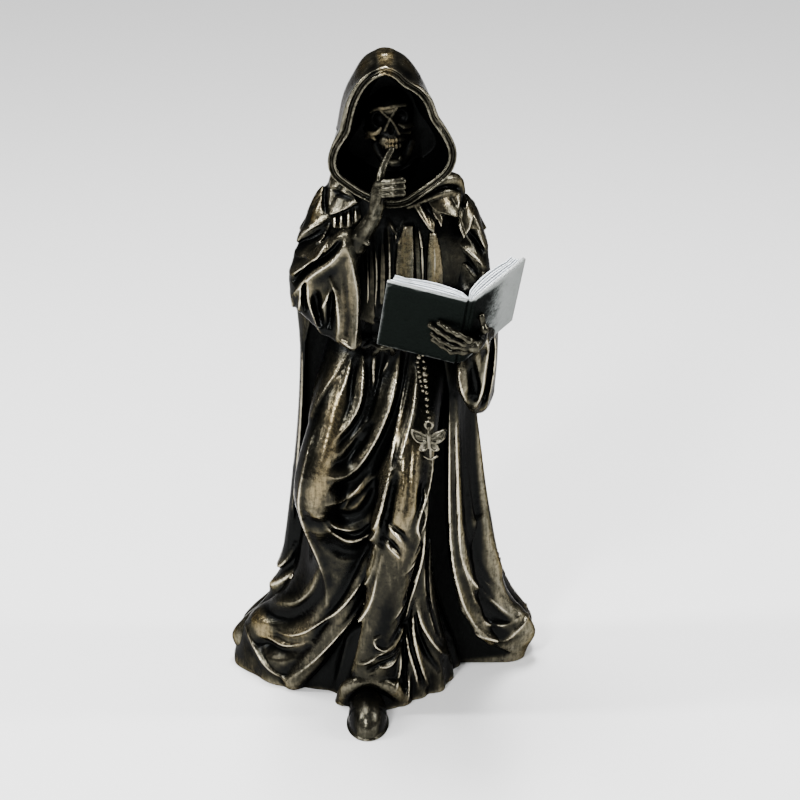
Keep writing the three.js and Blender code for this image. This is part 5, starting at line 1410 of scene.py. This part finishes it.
def bronzeMaterial():
    material, tree, shader, place = freshMaterial("bronzePatina")
    names = ("crest", "ridge", "bulge", "openness", "sky", "tone")
    crest, ridge, bulge, openness, sky, tone = (stored(tree, name) for name in names)
    stain = noise(place, bronzeFinish["stainSize"], 6, 0.62)
    patch = noise(place, bronzeFinish["patchSize"], 4, 0.6)
    stretched = shaderNode(tree, "ShaderNodeVectorMath", {"operation": "MULTIPLY"}, [place, (1, 1, 0.12)])
    brush = noise(stretched, bronzeFinish["brushSize"], 3, 0.6)
    # Painted shade: places that see little of the sky get darker colour, and the shelter of nearby clay
    # counts both as the real patina of the hollows and as painted shade.
    lit = sky.span(0.04, 0.22)
    swellAndShade = bulge.math("MINIMUM", 1.0) * 0.55 + (openness - 0.7) * 0.35 + (lit - 0.8) * 0.55
    swellAndShade = swellAndShade + (patch - 0.5) * 0.3 + tone
    brownedWhereLit = (swellAndShade + (stain - 0.5) * 0.35).span(-0.02, 0.50)
    rubbedWhereLit = (swellAndShade + (stain - 0.5) * 0.4 + (brush - 0.5) * 0.36).span(0.24, 0.80)
    colour = blendColours(tree, brownedWhereLit, bronzeFinish["dark"], bronzeFinish["brown"])
    flecks = 1 - (stain * 0.55 + brush * 0.45).span(0.40, 0.56)
    warmth = (tone * 1.2 + (patch - 0.5) * 0.9).span(-0.3, 0.6)
    metalColour = blendColours(tree, warmth, bronzeFinish["bronze"], bronzeFinish["golden"])
    brushed = blendColours(tree, flecks * 0.5, metalColour, bronzeFinish["brown"])
    colour = blendColours(tree, rubbedWhereLit, colour, brushed)
    # The pale along the crests is partly worn metal and partly a painted highlight, and it is kept off places
    # in painted shade.
    litEdge = crest * 0.55 + ridge.math("MINIMUM", 0.8) * 0.9 + (lit - 0.8) * 0.5
    wornAndHighlit = (litEdge + (stain - 0.5) * 0.22 + tone * 0.4).span(0.62, 1.05)
    colour = blendColours(tree, wornAndHighlit, colour, bronzeFinish["paleWearAndHighlight"])
    pits = stain.span(0.32, 0.40)
    colour = blendColours(tree, (1 - pits) * 0.5, colour, bronzeFinish["dark"])
    colour.into(shader, "Base Color")
    (rubbedWhereLit.math("MAXIMUM", wornAndHighlit) * 0.12 + 0.88).into(shader, "Metallic")
    rough = rubbedWhereLit * (bronzeFinish["roughBronze"] - bronzeFinish["roughDark"]) + bronzeFinish["roughDark"]
    (rough + (stain - 0.5) * 0.25 + (1 - lit) * 0.3).into(shader, "Roughness")
    shader.inputs["Specular IOR Level"].default_value = bronzeFinish["gloss"]
    shader.inputs["Specular Tint"].default_value = (*bronzeFinish["edgeTint"], 1)
    bumped(shader, stain * 0.5 + brush * 0.3 + patch * 0.5, 0.0007, 0.32)
    return material


bronze = bronzeMaterial()
for piece in castPieces:
    piece.data.materials.append(bronze)
print("bronze finish ready")


# The beads on their string and the winged charm that hangs from them, laid against the robe.
beadForm = {
    "strings": [
        [(11.3, 138), (11.8, 134.6), (12.6, 130.2), (13, 125), (13.5, 119.5), (13.6, 114.4), (14.3, 111.8)],
        [(11, 136), (10.4, 130.4), (11, 126.3), (12.2, 121)],
    ],
    "spacing": (2.2, 1.7),
    "size": (1.0, 0.7),
    "smallest": 0.62,
    "largest": 1.25,
    "seed": 4,
    "beltFront": -19.5,
}
charmForm = {"x": 14.3, "z": 105.2, "span": 5.9, "rim": 0.5, "step": 0.22}


# How deep the charm hangs, just in front of the robe.
def charmDepth():
    x, z, span = charmForm["x"], charmForm["z"], charmForm["span"]
    across = np.linspace(x - span, x + span, 9)
    return clays["robe"].front(across, np.full(9, z)).min() - 0.6


def makeCharm(clay):
    x, z, r, y = charmForm["x"], charmForm["z"], charmForm["rim"], charmDepth()
    turns = np.linspace(0, 2 * math.pi, 13)
    ring = [(x + 1.3 * math.cos(t), y, z + 5.8 + 1.3 * math.sin(t), r) for t in turns]
    clay.join(tube(ring, 0.5), 0.1)
    clay.join(tube([(x, y, z + 4.4, 0.7), (x, y - 0.4, z + 1.5, 1.05), (x, y - 0.2, z - 2.6, 0.7)], 0.6), 0.3)
    for side in (-1, 1):
        wing = [(0.6, 1.8), (3.4, 3.3), (5.7, 3.9), (5.9, 2.9), (4.6, 0.3), (2.6, -0.7), (0.7, -0.2)]
        clay.join(tube([(x + side * u, y - 0.3, z + v, r) for u, v in wing], 0.5), 0.2)
        clay.join(ball((x + side * 3.2, y, z + 1.5), (2.9, 0.45, 1.6), side * 0.3), 0.3)
        for vein in ((4.4, 2.6), (3.9, 0.9)):
            end = (x + side * vein[0], y - 0.5, z + vein[1], 0.22)
            clay.join(tube([(x + side * 0.6, y - 0.4, z + 0.8, 0.28), end], 0.6), 0.2)
        tail = [(0.5, -0.9), (2.2, -1.4), (3.3, -3.4), (1.8, -3.7), (0.5, -2.7)]
        clay.join(tube([(x + side * u, y - 0.2, z + v, 0.42) for u, v in tail], 0.5), 0.2)
        clay.join(ball((x + side * 1.7, y, z - 2.6), (1.3, 0.4, 0.9), -side * 0.3), 0.3)
    clay.join(tube([(x + 0.5, y, z - 3, 0.5), (x + 0.6, y, z - 6.4, 0.45)], 0.6), 0.2)
    clay.join(tube([(x - 1.7, y, z - 6, 0.42), (x + 0.5, y, z - 7, 0.55), (x + 3, y, z - 6, 0.42)], 0.5), 0.2)


def finishPiece(piece, node):
    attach(piece, "root")
    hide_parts(node)


charmLow, charmHigh = (5, charmDepth() - 4, 94), (24, charmDepth() + 3, 115)
charm = sculpt("charm", makeCharm, charmLow, charmHigh, charmForm["step"], 30000, -0.24)
charm.data.materials.append(bronze)
finishPiece(charm, "hooded_figure")


# Instances of a small bead along the string, by a node tree with its own inputs.
def beadTree():
    tree = bpy.data.node_groups.new("beadString", "GeometryNodeTree")
    tree.interface.new_socket("Geometry", in_out="INPUT", socket_type="NodeSocketGeometry")
    for label, kind in (("Spacing", "Float"), ("Size", "Float"), ("Seed", "Int"), ("Finish", "Material")):
        tree.interface.new_socket(label, in_out="INPUT", socket_type="NodeSocket" + kind)
    tree.interface.new_socket("Geometry", in_out="OUTPUT", socket_type="NodeSocketGeometry")
    given = tree.nodes.new("NodeGroupInput")

    def take(name):
        return Wire(tree, given.outputs[name])

    line = shaderNode(tree, "GeometryNodeMeshToCurve", {}, {"Mesh": take("Geometry")})
    values = {"Curve": line, "Length": take("Spacing")}
    spots = shaderNode(tree, "GeometryNodeResampleCurve", {"mode": "LENGTH"}, values)
    points = shaderNode(tree, "GeometryNodeCurveToPoints", {"mode": "EVALUATED"}, {"Curve": spots})
    bead = shaderNode(tree, "GeometryNodeMeshIcoSphere", {}, {"Radius": take("Size"), "Subdivisions": 4})
    scale = tree.nodes.new("FunctionNodeRandomValue")
    scale.data_type = "FLOAT"
    scale.inputs[2].default_value = beadForm["smallest"]
    scale.inputs[3].default_value = beadForm["largest"]
    tree.links.new(given.outputs["Seed"], scale.inputs["Seed"])
    values = {"Points": points, "Instance": bead, "Scale": Wire(tree, scale.outputs[1])}
    placed = shaderNode(tree, "GeometryNodeInstanceOnPoints", {}, values)
    real = shaderNode(tree, "GeometryNodeRealizeInstances", {}, {"Geometry": placed})
    smooth = shaderNode(tree, "GeometryNodeSetShadeSmooth", {}, {"Geometry": real})
    values = {"Geometry": smooth, "Material": take("Finish")}
    painted = shaderNode(tree, "GeometryNodeSetMaterial", {}, values)
    tree.links.new(painted.socket, tree.nodes.new("NodeGroupOutput").inputs[0])
    return tree


# The mesh that a tree of geometry nodes makes from a line of points, with its inputs set by their names.
def grown(name, points, tree, values):
    mesh = bpy.data.meshes.new(name)
    edges = [(i, i + 1) for i in range(len(points) - 1)]
    mesh.from_pydata([tuple((np.array(p) + shift) / 1000) for p in points], edges, [])
    piece = added(name, mesh)
    modifier = piece.modifiers.new("grow", "NODES")
    modifier.node_group = tree
    for item in tree.interface.items_tree:
        if item.in_out == "INPUT" and item.name in values:
            modifier[item.identifier] = values[item.name]
    settled(piece).name = name
    return piece


# What the finish reads on every bead.
beadMarks = {"crest": 0.0, "ridge": 0.7, "bulge": 1.0, "openness": 0.8, "sky": 0.22, "tone": 0.0}
stringTree = beadTree()
for i, (route, spacing, size) in enumerate(zip(beadForm["strings"], beadForm["spacing"], beadForm["size"])):
    string = strand(route, 1.0, 2)
    depths = clays["robe"].front(string[:, 0], string[:, 1])
    # Each string starts in front of the belt.
    depths[:3] = np.minimum(depths[:3], beadForm["beltFront"])
    line = [(x, y - size * 0.6, z) for (x, z), y in zip(string, depths)]
    values = {"Spacing": spacing / 1000, "Size": size / 1000, "Seed": beadForm["seed"] + i, "Finish": bronze}
    beads = grown("beads" + str(i), line, stringTree, values)
    for label, value in beadMarks.items():
        store(beads.data, label, np.full(len(beads.data.vertices), value))
    finishPiece(beads, "hooded_figure")
print("beads and charm ready")


# The open book: two boards joined by a rounded spine, and on each a stack of leaves curving into the spine.
bookForm = {"curl": 0.45, "leafCount": 5, "gap": 0.42, "edgeRound": 0.28, "leafRound": 0.07}


# A closed strip through rings of points, each ring one section of it.
def skin(name, rings):
    count = len(rings[0])
    points = np.array([inBook(*p) for ring in rings for p in ring]) + shift
    faces = []
    for r in range(len(rings) - 1):
        for i in range(count):
            j = (i + 1) % count
            faces.append((r * count + i, r * count + j, (r + 1) * count + j, (r + 1) * count + i))
    faces += [tuple(range(count))[::-1], tuple(range((len(rings) - 1) * count, len(rings) * count))]
    mesh = bpy.data.meshes.new(name)
    mesh.from_pydata([tuple(p / 1000) for p in points], [], faces)
    mesh.update()
    return added(name, mesh)


# Rounds the edges of a piece and puts its faces outward.
def rounded(piece, width, segments=2):
    bevel = piece.modifiers.new("round", "BEVEL")
    bevel.width = width / 1000
    bevel.segments = segments
    bevel.limit_method = "ANGLE"
    bevel.angle_limit = math.radians(40)
    fresh = settled(piece)
    work = bmesh.new()
    work.from_mesh(fresh)
    bmesh.ops.recalc_face_normals(work, faces=work.faces)
    work.to_mesh(fresh)
    work.free()
    fresh.shade_smooth()
    fresh.set_sharp_from_angle(angle=math.radians(35))


spine = [(0.9 * math.sin(t), 0.25 - thick * 0.6 * math.cos(t)) for t in np.linspace(-1.2, 1.2, 7)]
outer = [opened(-1, d, -thick) for d in np.linspace(width, 1.2, 12)]
outer += spine + [opened(1, d, -thick) for d in np.linspace(1.2, width, 12)]
inner = [opened(1, d, 0) for d in np.linspace(width, 0.6, 12)]
inner += [opened(-1, d, 0) for d in np.linspace(0.6, width, 12)]
cover = skin("bookCover", [[(u, s, n) for u, n in outer + inner] for s in np.linspace(0, tall, 14)])
rounded(cover, bookForm["edgeRound"])


# One gathering of leaves: level number `layer` of the stack on one side.
def leaves(side, layer):
    inset, top, end = sizes["pageInset"], sizes["pageStack"], width - sizes["pageInset"]
    count = bookForm["leafCount"]
    low, high = layer / count, (layer + 1) / count - bookForm["gap"] / top
    reach = end * (1 - 0.012 * layer) + 0.25 * math.sin(layer * 2.1)
    steps = np.linspace(0.012, 1, 16)

    def level(share, t):
        full = top * min(1.0, 0.55 + bookForm["curl"] * math.sin(t * math.pi)) * min(1.0, 0.35 + 5 * t)
        if t > 0.92:
            full = top * (0.8 - 0.2 * (t - 0.92))
        return full * share

    section = [opened(side, reach * t, 0.05 + level(low, t)) for t in steps]
    section += [opened(side, reach * t, 0.05 + level(high, t)) for t in steps[::-1]]
    ends = (inset + 0.12 * math.cos(layer * 1.7), tall - inset - 0.18 * (layer % 2))
    name = ("leftLeaves" if side < 0 else "rightLeaves") + str(layer)
    piece = skin(name, [[(u, s, n) for u, n in section] for s in ends])
    rounded(piece, bookForm["leafRound"], 1)
    return piece


leafPieces = [leaves(side, layer) for side in (-1, 1) for layer in range(bookForm["leafCount"])]


# Dark leather-like paint on the boards, rubbed pale along their edges and lightened on the right board as a
# painted reflection, and silvery leaves with fine lines of painted shade between them.
bookFinish = {
    "board": (0.0055, 0.0070, 0.0062),
    "boardWornAndSheen": (0.25, 0.262, 0.255),
    "leaf": (0.62, 0.66, 0.69),
    "leafGapShade": (0.035, 0.04, 0.045),
    "leatherSize": 900,
    "scuffSize": 220,
    "smudgeSize": 380,
    "boardMetal": 0.9,
    "leafMetal": 0.35,
    "boardGloss": 0.05,
    "boardTint": (0.12, 0.12, 0.12),
}


def boardMaterial():
    material, tree, shader, place = freshMaterial("bookBoards")
    grain = noise(place, bookFinish["leatherSize"], 5, 0.6)
    scuff = noise(place, bookFinish["scuffSize"], 6, 0.68)
    # Pale where worn along the edges, and on the right board a painted reflection growing towards its far
    # side.
    wornAndHighlit = (stored(tree, "rubAndSheen") * 0.72 + (scuff - 0.5) * 0.5 + (grain - 0.5) * 0.3).span(0.3, 0.85)
    blendColours(tree, wornAndHighlit, bookFinish["board"], bookFinish["boardWornAndSheen"]).into(shader, "Base Color")
    shader.inputs["Metallic"].default_value = bookFinish["boardMetal"]
    shader.inputs["Specular IOR Level"].default_value = bookFinish["boardGloss"]
    shader.inputs["Specular Tint"].default_value = (*bookFinish["boardTint"], 1)
    ((scuff - 0.5) * 0.3 + 0.5).into(shader, "Roughness")
    bumped(shader, grain + scuff, 0.0004, 0.4)
    return material


def leafMaterial():
    material, tree, shader, place = freshMaterial("bookLeaves")
    soft = noise(place, bookFinish["smudgeSize"], 5, 0.65)
    # Fine dark lines across the leaves' edges: painted shade between the leaves.
    gapShadeLines = (stored(tree, "layers") * 6.2832).math("SINE").span(0.3, 0.95)
    shade = (gapShadeLines * 0.45 + (soft - 0.5) * 0.9).span(0.15, 0.9)
    blendColours(tree, shade, bookFinish["leaf"], bookFinish["leafGapShade"]).into(shader, "Base Color")
    shader.inputs["Metallic"].default_value = bookFinish["leafMetal"]
    ((soft - 0.5) * 0.3 + 0.4).into(shader, "Roughness")
    bumped(shader, soft - gapShadeLines * 0.6, 0.0003, 0.5)
    return material


# A mesh's points in the book's own frame: across, up along the spine, and towards the reader.
def inBookFrame(mesh):
    away = pointsOf(mesh) * 1000 - shift - bookFoot
    return away @ bookAcross, away @ bookSpine, away @ bookFacing


# The boards are rubbed along their edges, and the right one is lightened more and more towards its far side,
# as a painted reflection.
across, up, out = inBookFrame(cover.data)
fromEdge = np.minimum(np.minimum(up, tall - up), np.abs(width - np.hypot(across, out)))
store(cover.data, "rubAndSheen", np.clip(1 - fromEdge / 0.45, 0, 1) + np.clip((across - 1.5) / 12, 0, 1) * 1.1)
cover.data.materials.append(boardMaterial())
leafPaint = leafMaterial()
for piece in leafPieces:
    across, up, out = inBookFrame(piece.data)
    store(piece.data, "layers", out * 1.3 - np.abs(across) * 0.3)
    piece.data.materials.append(leafPaint)
for piece in [cover, *leafPieces]:
    finishPiece(piece, "open_book")
print("book ready")

# Floor, light and camera. Each area light is its place, its width and height, and its power.
studio = {
    "floorGrey": 0.8,
    "floorReach": 3,
    "skyStrength": 0.16,
    "areaLights": {
        "keyLight": ((-0.35, -0.80, 0.72), (0.10, 0.30), 14),
        "leftLight": ((-0.78, -0.10, 0.70), (0.10, 0.45), 13),
        "topLight": ((0.02, 0.24, 1.00), (0.12, 0.45), 14),
        "rightLight": ((0.80, -0.05, 0.50), (0.09, 0.45), 8),
    },
    "lightsAim": (0, 0, 0.13),
    "softPower": 3.6,
    "softAngle": 30,
    "softTurn": (-8, -14, 0),
    "lens": 113.1,
    "distance": 0.9,
    "aim": (0.0, 0.0, 0.115),
    "elevation": 20.0,
    "pictureSize": 800,
    "aimPixel": (388, 389.3),
}
r = studio["floorReach"]
floorCorners = np.array([(-r, -r, 0), (r, -r, 0), (r, r, 0), (-r, r, 0)], dtype=float)
floor = added("floor", meshFrom("floor", floorCorners, np.array([(0, 1, 2, 3)])))
floorPaint = bpy.data.materials.new("floorPaint")
floorPaint.use_nodes = True
floorShader = floorPaint.node_tree.nodes["Principled BSDF"]
floorShader.inputs["Base Color"].default_value = (*[studio["floorGrey"]] * 3, 1)
floor.data.materials.append(floorPaint)

world = bpy.data.worlds.new("studio")
bpy.context.scene.world = world
world.use_nodes = True
background = world.node_tree.nodes["Background"]
background.inputs["Color"].default_value = (1, 1, 1, 1)
background.inputs["Strength"].default_value = studio["skyStrength"]

for name, (place, size, power) in studio["areaLights"].items():
    light = bpy.data.lights.new(name, "AREA")
    light.shape = "RECTANGLE"
    light.size, light.size_y = size
    light.energy = power
    lamp = added(name, light)
    lamp.location = place
    lamp.rotation_euler = (Vector(studio["lightsAim"]) - Vector(place)).to_track_quat("-Z", "Y").to_euler()
soft = added("softLight", bpy.data.lights.new("softLight", "SUN"))
soft.data.energy = studio["softPower"]
soft.data.angle = math.radians(studio["softAngle"])
soft.rotation_euler = [math.radians(turn) for turn in studio["softTurn"]]

camera = added("camera", bpy.data.cameras.new("camera"))
camera.data.lens = studio["lens"]
camera.data.sensor_width = 36
aim = Vector(studio["aim"]) + Vector(shift / 1000)
rise = math.radians(studio["elevation"])
camera.location = aim + Vector((0, -math.cos(rise), math.sin(rise))) * studio["distance"]
camera.rotation_euler = (math.pi / 2 - rise, 0, 0)
middle, wide = studio["pictureSize"] / 2, studio["pictureSize"]
camera.data.shift_x = (middle - studio["aimPixel"][0]) / wide
camera.data.shift_y = (studio["aimPixel"][1] - middle) / wide
bpy.context.scene.camera = camera
print("studio ready")
